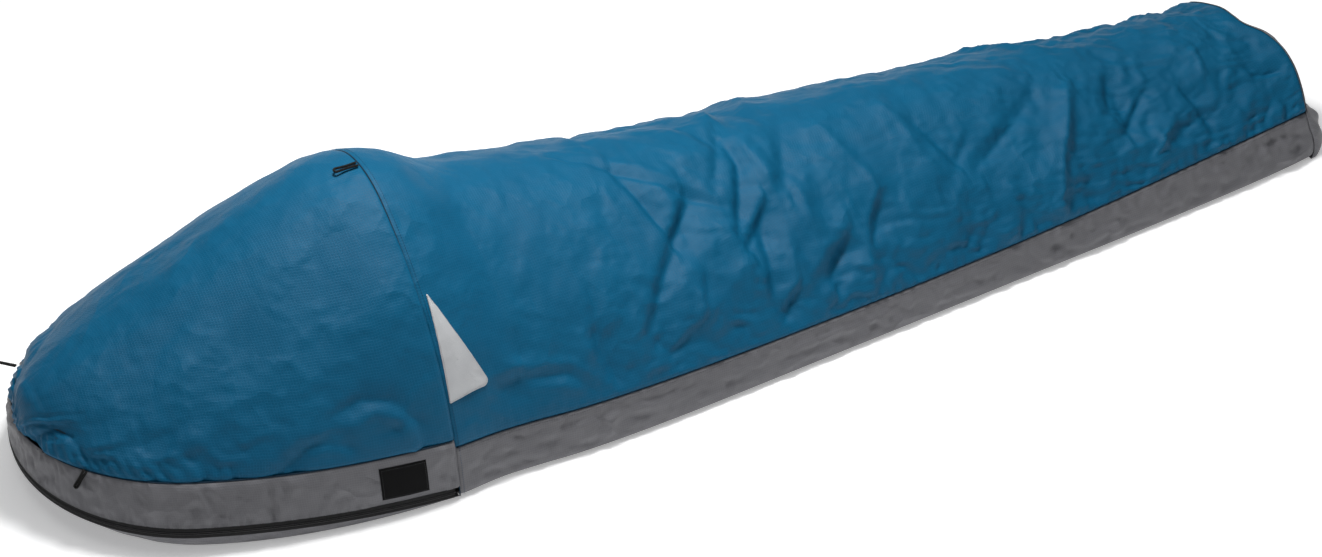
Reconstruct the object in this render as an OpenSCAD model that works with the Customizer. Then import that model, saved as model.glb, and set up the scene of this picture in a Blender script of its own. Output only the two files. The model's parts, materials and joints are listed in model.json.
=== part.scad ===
// Bivy sack with a hooped head end: a gray floor tub, a blue upper, a zipped hood,
// an insect mesh door inside the hood, and one shock-corded hoop pole.
// +X runs from the head to the foot and Z = 0 is the ground under the floor.

/* [Lengths] */
// Distance from the hoop to the front of the nose
head_len = 551; // [500:1:600]
// Distance from the hoop to the foot end
body_len = 1559; // [1400:1:1700]

/* [Hoop arch] */
// Half of the hoop's width at the ground
hoop_w = 303; // [290:1:315]
// Height of the fabric at the hoop's apex
hoop_h = 390; // [370:1:400]
// Radius of the arch over the apex
top_r = 138; // [120:1:150]
// Angle that the apex arc covers on each side
top_a = 30; // [25:1:35]

/* [Hood] */
// Half of the hood's width at the hoop
hood_w = 309; // [306:1:318]
// Radius of the nose seen from above
nose_r = 260; // [230:1:280]
// Height of the zip above the ground at the hoop
zip_h0 = 14; // [12:1:20]
// Height of the zip above the ground at the nose
zip_h1 = 46; // [30:1:60]
// Height of the colour seam at the hoop
hood_seam_h0 = 96; // [90:1:105]
// Height of the colour seam at the nose
hood_seam_h1 = 116; // [105:1:125]

/* [Fabric] */
// Thickness of the panels
cloth_t = 1.2; // [0.8:0.1:1.5]
// Gap left between neighbouring panels
seam_gap = 0.4; // [0.3:0.1:0.6]
// Height of the gray side bands at the hoop
band_hoop_h = 81; // [70:1:90]
// Height of the gray side bands at mid length
band_mid_h = 61; // [50:1:70]
// Height of the gray bands at the foot
band_foot_h = 79; // [70:1:90]

/* [Pole] */
// Outer radius of the hoop pole
pole_r = 4.2; // [3.5:0.1:4.5]
// Wall of the pole's tubes
pole_wall = 0.8; // [0.6:0.1:1]
// Distance of the pole's centre line inside the fabric's outer face
pole_in = 8; // [7.5:0.1:10]

/* [Zip] */
// Half of the height of the two closed zip tapes
zip_half = 8; // [7:0.5:9]
// Width of one row of coil
coil_w = 2.2; // [1.8:0.1:2.6]
// Distance of the mesh door's zip inside the main zip
mesh_in = 7; // [6.5:0.5:9]

/* [Hidden] */
$fn = 48;

// The zip at the nose and the foot loop's tip are equally far from X = 0
coil_out = 0.7;
foot_loop_out = 1.8;
foot_loop_reach = 26;
hoop_x = (head_len + coil_out - body_len - foot_loop_out - foot_loop_reach) / 2;
blue = "#1f5f86";
gray = "#6b6b6d";
black = "#1c1c1e";
deg = PI / 180;

// Torso ribs: distance behind the hoop, half width at the ground, height
torso_ribs = [
    [0, 303, 390], [60, 300, 377], [130, 301, 334], [200, 304, 316], [330, 300, 290],
    [620, 277, 254], [975, 246, 228], [1330, 214, 190], [1500, 194, 194], [1559, 184, 205]
];
// Ridge of the hood: distance ahead of the hoop, height
hood_ridge = [
    [0, 395], [60, 388], [138, 362], [275, 300], [400, 243],
    [480, 208], [520, 188], [545, 165], [551, 140]
];

// The hoop's side arcs are tangent to the apex arc and pass through the ground point
arc_k = (pow(hoop_w, 2) + pow(hoop_h, 2) - 2 * hoop_h * top_r)
    / (2 * (top_r + (hoop_h - top_r) * cos(top_a) - hoop_w * sin(top_a)));
side_r = arc_k + top_r;
side_cy = -arc_k * sin(top_a);
side_cz = hoop_h - top_r - arc_k * cos(top_a);
base_a = atan2(-side_cz, hoop_w - side_cy);
apex_len = top_r * top_a * deg;
half_len = apex_len + side_r * (90 - top_a - base_a) * deg;

// The zip lies in one plane, tilted up towards the nose about the hoop's base line
zip_tilt = atan((zip_h1 - zip_h0) / head_len);
zip_slope = tan(zip_tilt);
zip_len = head_len / cos(zip_tilt);

// Interpolation through a list of stations, with weighted central slopes
function span_of(x, t, i = 0) = (i >= len(t) - 2 || x < t[i + 1][0]) ? i : span_of(x, t, i + 1);
function chord(t, i, c) = (t[i + 1][c] - t[i][c]) / (t[i + 1][0] - t[i][0]);
function slope_at(t, i, c) =
    i == 0 ? chord(t, 0, c)
    : i == len(t) - 1 ? chord(t, i - 1, c)
    : (chord(t, i, c) + chord(t, i - 1, c)) / 2;
function smooth(x, t, c) =
    let (
        i = span_of(x, t),
        w = t[i + 1][0] - t[i][0],
        s = (x - t[i][0]) / w
    )
    t[i][c] * (1 + 2 * s) * pow(1 - s, 2) + slope_at(t, i, c) * w * s * pow(1 - s, 2)
    + t[i + 1][c] * s * s * (3 - 2 * s) + slope_at(t, i + 1, c) * w * s * s * (s - 1);

// The arch as [y, z] and its outward normal, for u from -1 (near base) over 0 (apex) to 1
function arch_phi(u) =
    let (s = abs(u) * half_len)
    s <= apex_len ? s / top_r / deg : top_a + (s - apex_len) / side_r / deg;
function arch(u) =
    let (p = arch_phi(u), on_top = p <= top_a)
    [
        sign(u) * (on_top ? top_r * sin(p) : side_cy + side_r * sin(p)),
        on_top ? hoop_h - top_r + top_r * cos(p) : side_cz + side_r * cos(p)
    ];
function arch_normal(u) = [sign(u) * sin(arch_phi(u)), cos(arch_phi(u))];
// Place on the arch's side arc at a share of its height
function arch_u(share) =
    (apex_len + side_r * (acos((share * hoop_h - side_cz) / side_r) - top_a) * deg) / half_len;

// Torso surface: d behind the hoop, u round the arch, e inwards
function torso_w(d) = smooth(d, torso_ribs, 1);
function torso_h(d) = smooth(d, torso_ribs, 2);
function torso_pt(d, u, e) =
    let (a = arch(u), n = arch_normal(u))
    [hoop_x + d, torso_w(d) / hoop_w * a[0] - e * n[0], torso_h(d) / hoop_h * a[1] - e * n[1]];
function band_z(d) =
    let (end_h = d < body_len / 2 ? band_hoop_h : band_foot_h)
    end_h + (band_mid_h - end_h) * sin(180 * d / body_len);
function band_u(d, dz) = arch_u((band_z(max(d, 0)) + dz) / torso_h(d));

// Outline of the head seen from above: tangent side arcs and a round nose, e inwards
function nose_a(l) = 90 - 2 * atan((hood_w - nose_r) / (l - nose_r));
function plan_r(l) = nose_r + (l - nose_r) / cos(nose_a(l));
function plan_join(l) = (l - nose_r) + nose_r * cos(nose_a(l));
function plan_w(q, l, e) =
    q < plan_join(l)
    ? sqrt(pow(plan_r(l) - e, 2) - q * q) - (plan_r(l) - hood_w)
    : sqrt(max(0, pow(nose_r - e, 2) - pow(q - (l - nose_r), 2)));

// Hood surface: q ahead of the hoop, u round the arch, e inwards
function zip_z(q) = zip_h0 + zip_slope * q;
function hood_h(q, e) = smooth(max(q, 0) * head_len / (head_len - e), hood_ridge, 1) - e;
function hood_pt(q, u, e) =
    let (a = arch(u))
    [
        hoop_x - q,
        plan_w(q, head_len, e) / hoop_w * a[0],
        zip_z(q) + (hood_h(q, e) - zip_z(q)) * a[1] / hoop_h
    ];
function hood_u(q, z, e) = arch_u((z - zip_z(q)) / (hood_h(q, e) - zip_z(q)));
function hood_seam_z(q) = hood_seam_h0 + (hood_seam_h1 - hood_seam_h0) * q / head_len;
// Stations ahead of the hoop, closer together at the nose; k runs from 0 to 1
function head_q(k, q0, e) = k <= 0 ? q0 : k >= 1 ? head_len - e : q0 + (head_len - e - q0) * sin(90 * k);

// Thin solid between two matching grids of points. pinch joins both halves of the last row
module skin(outer, inner, pinch = false, flip = false) {
    rows = len(outer);
    cols = len(outer[0]);
    mid = (cols - 1) / 2;
    function id(s, i, j) =
        (s * rows + i) * cols + ((pinch && i == rows - 1 && j > mid) ? cols - 1 - j : j);
    function quad(a, b, c, d) = [[a, b, c], [a, c, d]];
    face_sets = concat(
        [for (i = [0:rows - 2], j = [0:cols - 2])
            quad(id(0, i, j), id(0, i, j + 1), id(0, i + 1, j + 1), id(0, i + 1, j))],
        [for (i = [0:rows - 2], j = [0:cols - 2])
            quad(id(1, i, j), id(1, i + 1, j), id(1, i + 1, j + 1), id(1, i, j + 1))],
        [for (i = [0:rows - 2]) quad(id(0, i, 0), id(0, i + 1, 0), id(1, i + 1, 0), id(1, i, 0))],
        [for (i = [0:rows - 2])
            quad(id(0, i, cols - 1), id(1, i, cols - 1), id(1, i + 1, cols - 1), id(0, i + 1, cols - 1))],
        [for (j = [0:cols - 2]) quad(id(0, 0, j), id(1, 0, j), id(1, 0, j + 1), id(0, 0, j + 1))],
        pinch ? [] : [for (j = [0:cols - 2])
            quad(id(0, rows - 1, j), id(0, rows - 1, j + 1), id(1, rows - 1, j + 1), id(1, rows - 1, j))]
    );
    triangles = [for (pair = face_sets, t = pair) flip ? [t[0], t[2], t[1]] : t];
    polyhedron([for (grid = [outer, inner], row = grid, p = row) p], triangles);
}

// Everything on the zip is drawn level, round the hoop's base line, and tilted here
module zip_plane() {
    translate([hoop_x, 0, zip_h0])
        rotate([0, zip_tilt, 0])
            children();
}

// A strip along the zip between two offsets from its outline and two heights.
// Its nose stretch and its two side stretches are separate solids with a hairline between them
module zip_strip(r0, r1, z0, z1, start = 9) {
    section = [[r0, z0], [r1, z0], [r1, z1], [r0, z1]];
    hairline = 0.01;
    turn = nose_a(zip_len) - hairline;
    big = plan_r(zip_len);
    start_a = asin(start / big);
    translate([nose_r - zip_len, 0, 0])
        rotate([0, 0, 180 - turn])
            rotate_extrude(angle = 2 * turn)
                translate([nose_r, 0])
                    polygon(section);
    for (s = [0, 1])
        mirror([0, s, 0])
            translate([0, hood_w - big, 0])
                rotate([0, 0, 90 + start_a])
                    rotate_extrude(angle = 90 - turn - start_a - 2 * hairline)
                        translate([big, 0])
                            polygon(section);
}

// ---- Floor tub ----

// Inset of the floor's outline from the zip's outline; k is 0 at the hoop and 1 at the nose
tub_rows = 14;
tub_start = 10;
function tub_k(r) = 1 - abs(r) / tub_rows;
function tub_inset(k) = 6 + 44 * pow(sin(90 * k), 4);
function side_of(r) = r < 0 ? -1 : 1;
function tub_low(r, e) =
    let (i = tub_inset(tub_k(r)) + e, q = head_q(tub_k(r), tub_start, i))
    [hoop_x - q, side_of(r) * plan_w(q, head_len, i), 0];
function tub_high(r, e) =
    let (q = head_q(tub_k(r), tub_start, e))
    [hoop_x - q, side_of(r) * plan_w(q, head_len, e), zip_z(q) - zip_half - 2 * cloth_t];

module floor_panel() {
    side = [for (d = [0:60:body_len]) [hoop_x + d, torso_w(d) - seam_gap]];
    foot = [hoop_x + body_len, torso_w(body_len) - seam_gap];
    head = [for (r = [-tub_rows:tub_rows]) [tub_low(r, 0)[0], tub_low(r, 0)[1]]];
    near = [for (i = [len(side) - 1:-1:0]) [side[i][0], -side[i][1]]];
    color(gray)
        linear_extrude(cloth_t)
            polygon(concat([[foot[0], -foot[1]]], near, head, side, [foot]));
}

module head_tub_wall() {
    floor_top = [0, 0, cloth_t + seam_gap];
    function wall(e) = [
        for (r = [-tub_rows:tub_rows])
            [tub_low(r, e) + floor_top, (tub_low(r, e) + floor_top + tub_high(r, e)) / 2, tub_high(r, e)]
    ];
    color(gray)
        skin(wall(0), wall(cloth_t));
}

// Gray strip along one side of the torso, from the floor to the colour seam
module side_band(side) {
    stations = concat([-8], [for (k = [0:22]) k * body_len / 22]);
    function grid(e) = [
        for (d = stations)
            [for (v = [0:0.25:1])
                let (low = arch_u((cloth_t + seam_gap) / torso_h(d)), high = band_u(d, -seam_gap))
                torso_pt(d, side * (low + (high - low) * v), e)]
    ];
    color(gray)
        skin(grid(0), grid(cloth_t), flip = side > 0);
}
module side_band_left() { side_band(1); }
module side_band_right() { side_band(-1); }

// Cross-section of the foot end, standing in the YZ plane
module foot_shape(z0, z1) {
    outline = [for (u = [-1:1 / 16:1]) let (p = torso_pt(body_len, u, cloth_t)) [p[1], p[2]]];
    width = 2 * torso_w(body_len);
    intersection() {
        polygon(outline);
        translate([-width / 2, z0])
            square([width, z1 - z0]);
    }
}
module foot_plate(z0, z1) {
    translate([hoop_x + body_len - cloth_t, 0, 0])
        rotate([90, 0, 90])
            linear_extrude(cloth_t)
                offset(delta = -seam_gap)
                    foot_shape(z0, z1);
}
module foot_band() {
    color(gray)
        foot_plate(cloth_t, band_foot_h);
}
module foot_end_panel() {
    color(gray)
        foot_plate(band_foot_h, hoop_h);
}

// ---- Upper ----

module torso_panel() {
    stations = concat([-8], [for (k = [0:26]) k * body_len / 26]);
    function grid(e) = [
        for (d = stations) [for (v = [-1:1 / 14:1]) torso_pt(d, v * band_u(d, seam_gap), e)]
    ];
    color(blue)
        skin(grid(0), grid(cloth_t));
}

// Light triangle sewn on the near side, its upright edge along the hoop seam
module reflective_patch() {
    top_u = 0.42;
    low_u = 0.71;
    back_d = 80;
    front_d = 10;
    lift = 0.4;
    thick = 0.6;
    function grid(e) = [
        for (k = [0:0.125:1])
            let (u = top_u + (low_u - top_u) * k)
            [for (v = [0:0.25:1]) torso_pt(front_d + (2 + (back_d - front_d) * k) * v, -u, e)]
    ];
    color("silver")
        skin(grid(-lift - thick), grid(-lift), flip = true);
}

// ---- Hoop pole ----

// Half of the pole starts: the apex arc is shared, the side arc has two sections
pole_side_a = 90 - base_a;
pole_mid_a = (top_a + pole_side_a) / 2;
pole_foot_gap_a = 2.6;
pole_foot_a = pole_side_a - pole_foot_gap_a;

// Ring swept round one stretch of the hoop; side is 0 for the apex arc
module hoop_arc(side, from_a, to_a, r_out, r_in) {
    r = (side == 0 ? top_r : side_r) - pole_in;
    centre = side == 0 ? [0, hoop_h - top_r] : [side_cy, side_cz];
    mirror([0, side < 0 ? 1 : 0, 0])
        translate([hoop_x, centre[0], centre[1]])
            rotate([90, 0, 90])
                rotate([0, 0, 90 - to_a])
                    rotate_extrude(angle = to_a - from_a)
                        translate([r, 0])
                            difference() {
                                circle(r_out);
                                if (r_in > 0) circle(r_in);
                            }
}
module pole_section(side, from_a, to_a) {
    color("silver")
        hoop_arc(side, from_a, to_a, pole_r, pole_r - pole_wall);
}
module pole_apex() { pole_section(0, -top_a, top_a); }
module pole_upper_left() { pole_section(1, top_a, pole_mid_a); }
module pole_upper_right() { pole_section(-1, top_a, pole_mid_a); }
module pole_lower_left() { pole_section(1, pole_mid_a, pole_foot_a); }
module pole_lower_right() { pole_section(-1, pole_mid_a, pole_foot_a); }

// Ferrules sit inside the tubes, fixed in the upper section and slid into its neighbour
ferrule_r = pole_r - pole_wall - 0.05;
ferrule_bore = 2.2;
ferrule_a = 3;
module ferrule(side, at_a) {
    color("gainsboro")
        hoop_arc(side, at_a - ferrule_a, at_a + ferrule_a, ferrule_r, ferrule_bore);
}
module ferrule_upper_left() { ferrule(1, top_a + ferrule_a + 0.2); }
module ferrule_upper_right() { ferrule(-1, top_a + ferrule_a + 0.2); }
module ferrule_lower_left() { ferrule(1, pole_mid_a); }
module ferrule_lower_right() { ferrule(-1, pole_mid_a); }

// Rounded end plugs that stand in the pockets
tip_a = 1.2;
module pole_tip(side) {
    color(black)
        hoop_arc(side, pole_foot_a, pole_foot_a + tip_a, pole_r, 0);
}
module pole_tip_left() { pole_tip(1); }
module pole_tip_right() { pole_tip(-1); }

// Elastic cord through every tube, from tip to tip, as one swept tube
module shock_cord() {
    cord_r = 1.4;
    sides = 8;
    rings = 60;
    end_u = 1 - pole_foot_gap_a * deg * side_r / half_len;
    function ring(u) =
        let (a = arch(u), n = arch_normal(u))
        [for (k = [0:sides - 1])
            let (t = 360 * k / sides)
            [
                hoop_x + cord_r * sin(t),
                a[0] - (pole_in - cord_r * cos(t)) * n[0],
                a[1] - (pole_in - cord_r * cos(t)) * n[1]
            ]];
    points = [for (i = [0:rings], p = ring(end_u * (2 * i / rings - 1))) p];
    walls = [
        for (i = [0:rings - 1], k = [0:sides - 1])
            let (a = i * sides + k, b = i * sides + (k + 1) % sides)
            each [[a, b, b + sides], [a, b + sides, a + sides]]
    ];
    start_cap = [for (k = [sides - 1:-1:0]) k];
    end_cap = [for (k = [0:sides - 1]) rings * sides + k];
    color(black)
        polyhedron(points, concat(walls, [start_cap], [end_cap]));
}

// Fabric tunnel that holds the pole under the hoop seam
module pole_sleeve() {
    sleeve_in = pole_r + 0.6;
    sleeve_out = sleeve_in + 0.9;
    hairline = 0.03;
    color(black) {
        hoop_arc(0, -top_a, top_a, sleeve_out, sleeve_in);
        for (side = [-1, 1])
            hoop_arc(side, top_a + hairline, pole_foot_a - 2, sleeve_out, sleeve_in);
    }
}

// Webbing cup sewn to the floor's edge, open at the top for the pole's tip
module pole_pocket(side) {
    floor_gap = cloth_t + seam_gap;
    cup_in = pole_r + 0.5;
    cup_out = cup_in + 1.1;
    y = side_cy + (side_r - pole_in) * sin(pole_foot_a + tip_a);
    cup_h = 17;
    tip_z = side_cz + (side_r - pole_in) * cos(pole_foot_a + tip_a) - 1;
    color(black)
        mirror([0, side < 0 ? 1 : 0, 0])
            translate([hoop_x, y - 0.6, floor_gap])
                difference() {
                    cylinder(h = cup_h, r = cup_out);
                    translate([0, 0, max(1, tip_z - floor_gap)])
                        cylinder(h = cup_h, r = cup_in);
                }
}
module pole_pocket_left() { pole_pocket(1); }
module pole_pocket_right() { pole_pocket(-1); }

// ---- Main zip and mesh zip, sack side ----

tape_t = 1;
coil_in = 1.7;
coil_gap = 0.6;
mesh_tape_t = 0.8;
mesh_coil_z = [0.5, 1.6];

// Binding that joins the tub wall to both zips
module tub_hem() {
    color(gray)
        zip_strip(-mesh_in - mesh_tape_t, 0, -zip_half - cloth_t - 0.2, -zip_half - 0.2, start = 12);
}
module zip_tape_lower() {
    color(black)
        zip_strip(-tape_t, 0, -zip_half, -coil_gap - coil_w);
}
module zip_coil_lower() {
    color(black)
        zip_strip(-coil_in, coil_out, -coil_gap - coil_w, -coil_gap);
}
// Small blocks that end the coil at both ends of the hoop's base
module zip_end_stops() {
    stop = [4, 2, 3];
    stop_front = -2.5;
    stop_in = 1.7;
    color("dimgray")
        zip_plane()
            for (s = [0, 1])
                mirror([0, s, 0])
                    translate([stop_front - stop[0], hood_w - stop_in, -stop[2]])
                        cube(stop);
}
module mesh_zip_tape() {
    color(black) {
        zip_strip(-mesh_in - mesh_tape_t, -mesh_in, -zip_half, -mesh_coil_z[1], start = 12);
        zip_strip(-mesh_in - 1.4, -mesh_in + 0.6, -mesh_coil_z[1], -mesh_coil_z[0], start = 12);
    }
}

// Flat webbing sewn to the floor inside, for a sleeping pad
strap_head_d = 120;
strap_foot_d = 1120;
module pad_strap(d) {
    strap_w = 25;
    strap_end = torso_w(d) - 12;
    color(black)
        translate([hoop_x + d - strap_w / 2, -strap_end, cloth_t + seam_gap])
            cube([strap_w, 2 * strap_end, cloth_t]);
}
module pad_strap_head() { pad_strap(strap_head_d); }
module pad_strap_foot() { pad_strap(strap_foot_d); }

// ---- Hood ----

hood_rows = 16;
hood_back = -4;
hood_bottom = zip_half + seam_gap;

module hood_panel() {
    function grid(e) = [
        for (i = [0:hood_rows])
            let (
                q = head_q(i / hood_rows, hood_back, e),
                edge = hood_u(q, hood_seam_z(q) + seam_gap, e)
            )
            [for (v = [-1:1 / 14:1]) hood_pt(q, v * edge, e)]
    ];
    color(blue)
        skin(grid(0), grid(cloth_t), pinch = true, flip = true);
}

// Gray band between the zip and the colour seam, round the whole head
module hood_band() {
    function grid(e) = [
        for (r = [-hood_rows:hood_rows])
            let (
                q = head_q(1 - abs(r) / hood_rows, hood_back, e),
                low = hood_u(q, zip_z(q) + hood_bottom, e),
                high = hood_u(q, hood_seam_z(q) - seam_gap, e)
            )
            [for (v = [0:0.25:1]) hood_pt(q, side_of(r) * (low + (high - low) * v), e)]
    ];
    color(gray)
        skin(grid(0), grid(cloth_t));
}
module zip_tape_upper() {
    color(black)
        zip_strip(-tape_t, 0, coil_gap + coil_w, zip_half);
}
module zip_coil_upper() {
    color(black)
        zip_strip(-coil_in, coil_out, coil_gap, coil_gap + coil_w);
}

// Plain sewn patch on the near side of the gray band
module blank_label() {
    label_q = [50, 122];
    label_z = [16, 52];
    lift = 0.4;
    thick = 0.8;
    function grid(e) = [
        for (k = [0:0.1:1])
            let (q = label_q[0] + (label_q[1] - label_q[0]) * k)
            [for (z = [label_z[0]:9:label_z[1]])
                hood_pt(q, -hood_u(q, zip_z(q) + z, 0), 0) - [0, e, 0]]
    ];
    color(black)
        skin(grid(lift + thick), grid(lift), flip = true);
}

// ---- Mesh door ----

mesh_t = 0.6;
module mesh_panel() {
    mesh_start = 9;
    function grid(e) = [
        for (i = [0:hood_rows])
            let (
                q = head_q(i / hood_rows, mesh_start, mesh_in + e),
                edge = hood_u(q, zip_z(q) + hood_bottom, mesh_in + e)
            )
            [for (v = [-1:1 / 10:1]) hood_pt(q, v * edge, mesh_in + e)]
    ];
    color([0.1, 0.1, 0.1, 0.5])
        skin(grid(0), grid(mesh_t), pinch = true, flip = true);
}
module mesh_binding() {
    color(black) {
        zip_strip(-mesh_in - mesh_tape_t, -mesh_in, mesh_coil_z[1], zip_half, start = 20);
        zip_strip(-mesh_in - 1.4, -mesh_in + 0.6, mesh_coil_z[0], mesh_coil_z[1], start = 20);
    }
}

// ---- Zip sliders and pulls ----

slider_len = 12;
lip_t = 0.8;
lug = [4, 3.6, 1];
lug_z = [-2.8, 1.8];
lug_sunk = 0.2;
pin_out = 4.6;
pin_h = 4.6;
pin_r = 0.7;
pull_bore = 0.95;

// Places its children on the zip's outline: 0 degrees is +X from the arc's centre
module on_nose_arc(turn) {
    zip_plane()
        translate([nose_r - zip_len, 0, 0])
            rotate([0, 0, turn])
                children();
}
module on_side_arc(ahead) {
    zip_plane()
        translate([0, hood_w - plan_r(zip_len), 0])
            rotate([0, 0, 90 + asin(ahead / plan_r(zip_len))])
                children();
}

// Two plates joined by a thin web between the coils, with lips under the lower coil
module slider(r, plates, web, lips, half_h, lug_side) {
    span = slider_len / r / deg;
    module part_ring(r0, r1, z0, z1, a = span)
        rotate([0, 0, -a / 2])
            rotate_extrude(angle = a)
                translate([r, 0])
                    polygon([[r0, z0], [r1, z0], [r1, z1], [r0, z1]]);
    lug_x = lug_side > 0 ? plates[3] - lug_sunk : plates[0] + lug_sunk - lug[0];
    pin_x = lug_side > 0 ? pin_out : -mesh_in - pin_out;
    union() {
        part_ring(plates[2], plates[3], -half_h, half_h);
        part_ring(plates[0], plates[1], -half_h, half_h);
        part_ring(plates[1], plates[2], -web, web);
        part_ring(lips[1], plates[2], -half_h, lip_t - half_h);
        part_ring(plates[1], lips[0], -half_h, lip_t - half_h);
        for (z = lug_z)
            translate([r + lug_x, -lug[1] / 2, z])
                cube(lug);
        translate([r + pin_x, 0, -pin_h / 2])
            cylinder(h = pin_h, r = pin_r);
    }
}
// Tab on the slider's pin, lying along the zip
module pull_tab(pin_x, reach) {
    tab = [1.4, 24, 3];
    eye_r = 1.7;
    translate([pin_x, 0, -tab[2] / 2])
        difference() {
            union() {
                cylinder(h = tab[2], r = eye_r);
                translate([-tab[0] / 2, min(0, reach * tab[1]), 0])
                    cube(tab);
            }
            translate([0, 0, -1])
                cylinder(h = tab[2] + 2, r = pull_bore);
        }
}

main_plates = [-3.3, -2.1, 1.1, 2.3];
main_lips = [-1.3, 0.3];
mesh_plates = [-mesh_in - 2.7, -mesh_in - 1.7, -mesh_in + 0.9, -mesh_in + 1.9];
mesh_lips = [-mesh_in - 1.1, -mesh_in + 0.3];
front_turn = 114;
rear_ahead = 330;
mesh_turn = 118;

module zip_slider_front() {
    color("dimgray")
        on_nose_arc(front_turn)
            slider(nose_r, main_plates, 0.4, main_lips, 4.4, 1);
}
module zip_pull_front() {
    color(black)
        on_nose_arc(front_turn)
            pull_tab(nose_r + pin_out, 1);
}
module zip_slider_rear() {
    color("dimgray")
        on_side_arc(rear_ahead)
            slider(plan_r(zip_len), main_plates, 0.4, main_lips, 4.4, 1);
}
module zip_pull_rear() {
    color(black)
        on_side_arc(rear_ahead)
            pull_tab(plan_r(zip_len) + pin_out, -1);
}
module mesh_slider() {
    color("dimgray")
        on_nose_arc(mesh_turn)
            slider(nose_r, mesh_plates, 0.3, mesh_lips, 4, -1);
}
module mesh_pull() {
    color(black)
        on_nose_arc(mesh_turn)
            pull_tab(nose_r - mesh_in - pin_out, 1);
}

// ---- Guy loops ----

// Cord loop with a stitched base, standing out along +X from its base at the origin
module cord_loop(reach, spread = 5) {
    r = 1.5;
    base_len = 3;
    leg_x = 2;
    straight = reach - spread - r;
    color(black)
        union() {
            translate([0, -spread - r, -r])
                cube([base_len, 2 * (spread + r), 2 * r]);
            for (s = [-1, 1])
                translate([leg_x, s * spread, 0])
                    rotate([0, 90, 0])
                        cylinder(h = straight - leg_x, r = r);
            translate([straight, 0, 0])
                rotate([0, 0, -90])
                    rotate_extrude(angle = 180)
                        translate([spread, 0])
                            circle(r);
        }
}

apex_loop_reach = 36;
side_loop_reach = 34;
apex_loop_q = 5;
apex_loop_lift = 7.5;
foot_loop_z = 60;
apex_loop_at = [hoop_x - apex_loop_q, 0, hoop_h + apex_loop_lift];
foot_loop_at = [hoop_x + body_len + foot_loop_out, 0, foot_loop_z];

// Frame of a side loop: it starts on the colour seam and lies down over the gray band
side_loop_lift = -4.2;
side_loop_q = [480, 500, 522];
side_loop_low_z = 70;
side_loop_left_lift = 85;
function side_loop_pt(q, z) = hood_pt(q, hood_u(q, z, 0), side_loop_lift);
side_loop_next = side_loop_pt(side_loop_q[0], hood_seam_z(side_loop_q[0]));
side_loop_top = side_loop_pt(side_loop_q[1], hood_seam_z(side_loop_q[1]));
side_loop_low = side_loop_pt(side_loop_q[2], side_loop_low_z);
function unit(v) = v / norm(v);
side_loop_x = unit(side_loop_low - side_loop_top);
side_loop_z = unit(cross(side_loop_x, side_loop_next - side_loop_top));
side_loop_y = cross(side_loop_z, side_loop_x);

module apex_loop() {
    translate(apex_loop_at)
        rotate([0, 0, 180])
            cord_loop(apex_loop_reach, spread = 4);
}
module side_loop(side, lift) {
    frame = [for (i = [0:2]) [side_loop_x[i], side_loop_y[i], side_loop_z[i], side_loop_top[i]]];
    mirror([0, side < 0 ? 1 : 0, 0])
        multmatrix(frame)
            rotate([0, lift, 0])
                cord_loop(side_loop_reach, spread = 2.4);
}
// The far loop stands off the hood and the near one hangs over the gray band
module side_loop_left() { side_loop(1, side_loop_left_lift); }
module side_loop_right() { side_loop(-1, 0); }
module foot_loop() {
    translate(foot_loop_at)
        cord_loop(foot_loop_reach);
}

floor_panel();
head_tub_wall();
side_band_left();
side_band_right();
foot_band();
foot_end_panel();
torso_panel();
reflective_patch();
pole_sleeve();
pole_apex();
pole_upper_left();
pole_upper_right();
pole_lower_left();
pole_lower_right();
ferrule_upper_left();
ferrule_upper_right();
ferrule_lower_left();
ferrule_lower_right();
pole_tip_left();
pole_tip_right();
shock_cord();
pole_pocket_left();
pole_pocket_right();
zip_plane() tub_hem();
zip_plane() zip_tape_lower();
zip_plane() zip_coil_lower();
zip_end_stops();
zip_plane() mesh_zip_tape();
pad_strap_head();
pad_strap_foot();
hood_panel();
hood_band();
zip_plane() zip_tape_upper();
zip_plane() zip_coil_upper();
blank_label();
mesh_panel();
zip_plane() mesh_binding();
zip_slider_front();
zip_pull_front();
zip_slider_rear();
zip_pull_rear();
mesh_slider();
mesh_pull();
apex_loop();
side_loop_left();
side_loop_right();
foot_loop();
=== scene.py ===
"""Looks of the bivy sack: stitched fabric panels, zips, netting, cord loops and pole materials.

Every length is in metres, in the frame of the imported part: +X to the foot, -Y the near side.
"""
import json
import math

import bpy
import numpy as np
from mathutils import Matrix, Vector


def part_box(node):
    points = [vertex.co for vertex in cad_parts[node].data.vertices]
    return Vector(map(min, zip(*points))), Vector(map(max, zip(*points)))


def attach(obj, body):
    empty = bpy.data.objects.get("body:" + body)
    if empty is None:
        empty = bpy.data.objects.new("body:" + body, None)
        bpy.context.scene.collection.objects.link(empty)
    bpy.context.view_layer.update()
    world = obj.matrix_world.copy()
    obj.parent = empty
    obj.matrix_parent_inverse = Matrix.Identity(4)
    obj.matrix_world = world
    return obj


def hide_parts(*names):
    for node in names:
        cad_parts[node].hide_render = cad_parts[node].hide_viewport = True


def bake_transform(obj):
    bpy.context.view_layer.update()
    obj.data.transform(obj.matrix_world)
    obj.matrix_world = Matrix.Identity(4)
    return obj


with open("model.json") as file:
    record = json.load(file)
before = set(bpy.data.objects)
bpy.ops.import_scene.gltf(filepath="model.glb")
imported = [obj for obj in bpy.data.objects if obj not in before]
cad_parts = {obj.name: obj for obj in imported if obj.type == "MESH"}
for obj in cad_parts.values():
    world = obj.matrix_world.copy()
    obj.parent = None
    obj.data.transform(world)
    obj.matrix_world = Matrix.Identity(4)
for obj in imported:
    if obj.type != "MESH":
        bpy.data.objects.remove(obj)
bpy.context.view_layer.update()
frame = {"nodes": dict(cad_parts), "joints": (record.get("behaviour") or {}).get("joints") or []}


def joint(name):
    return [j for j in frame["joints"] if j["name"] == name][0]


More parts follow.
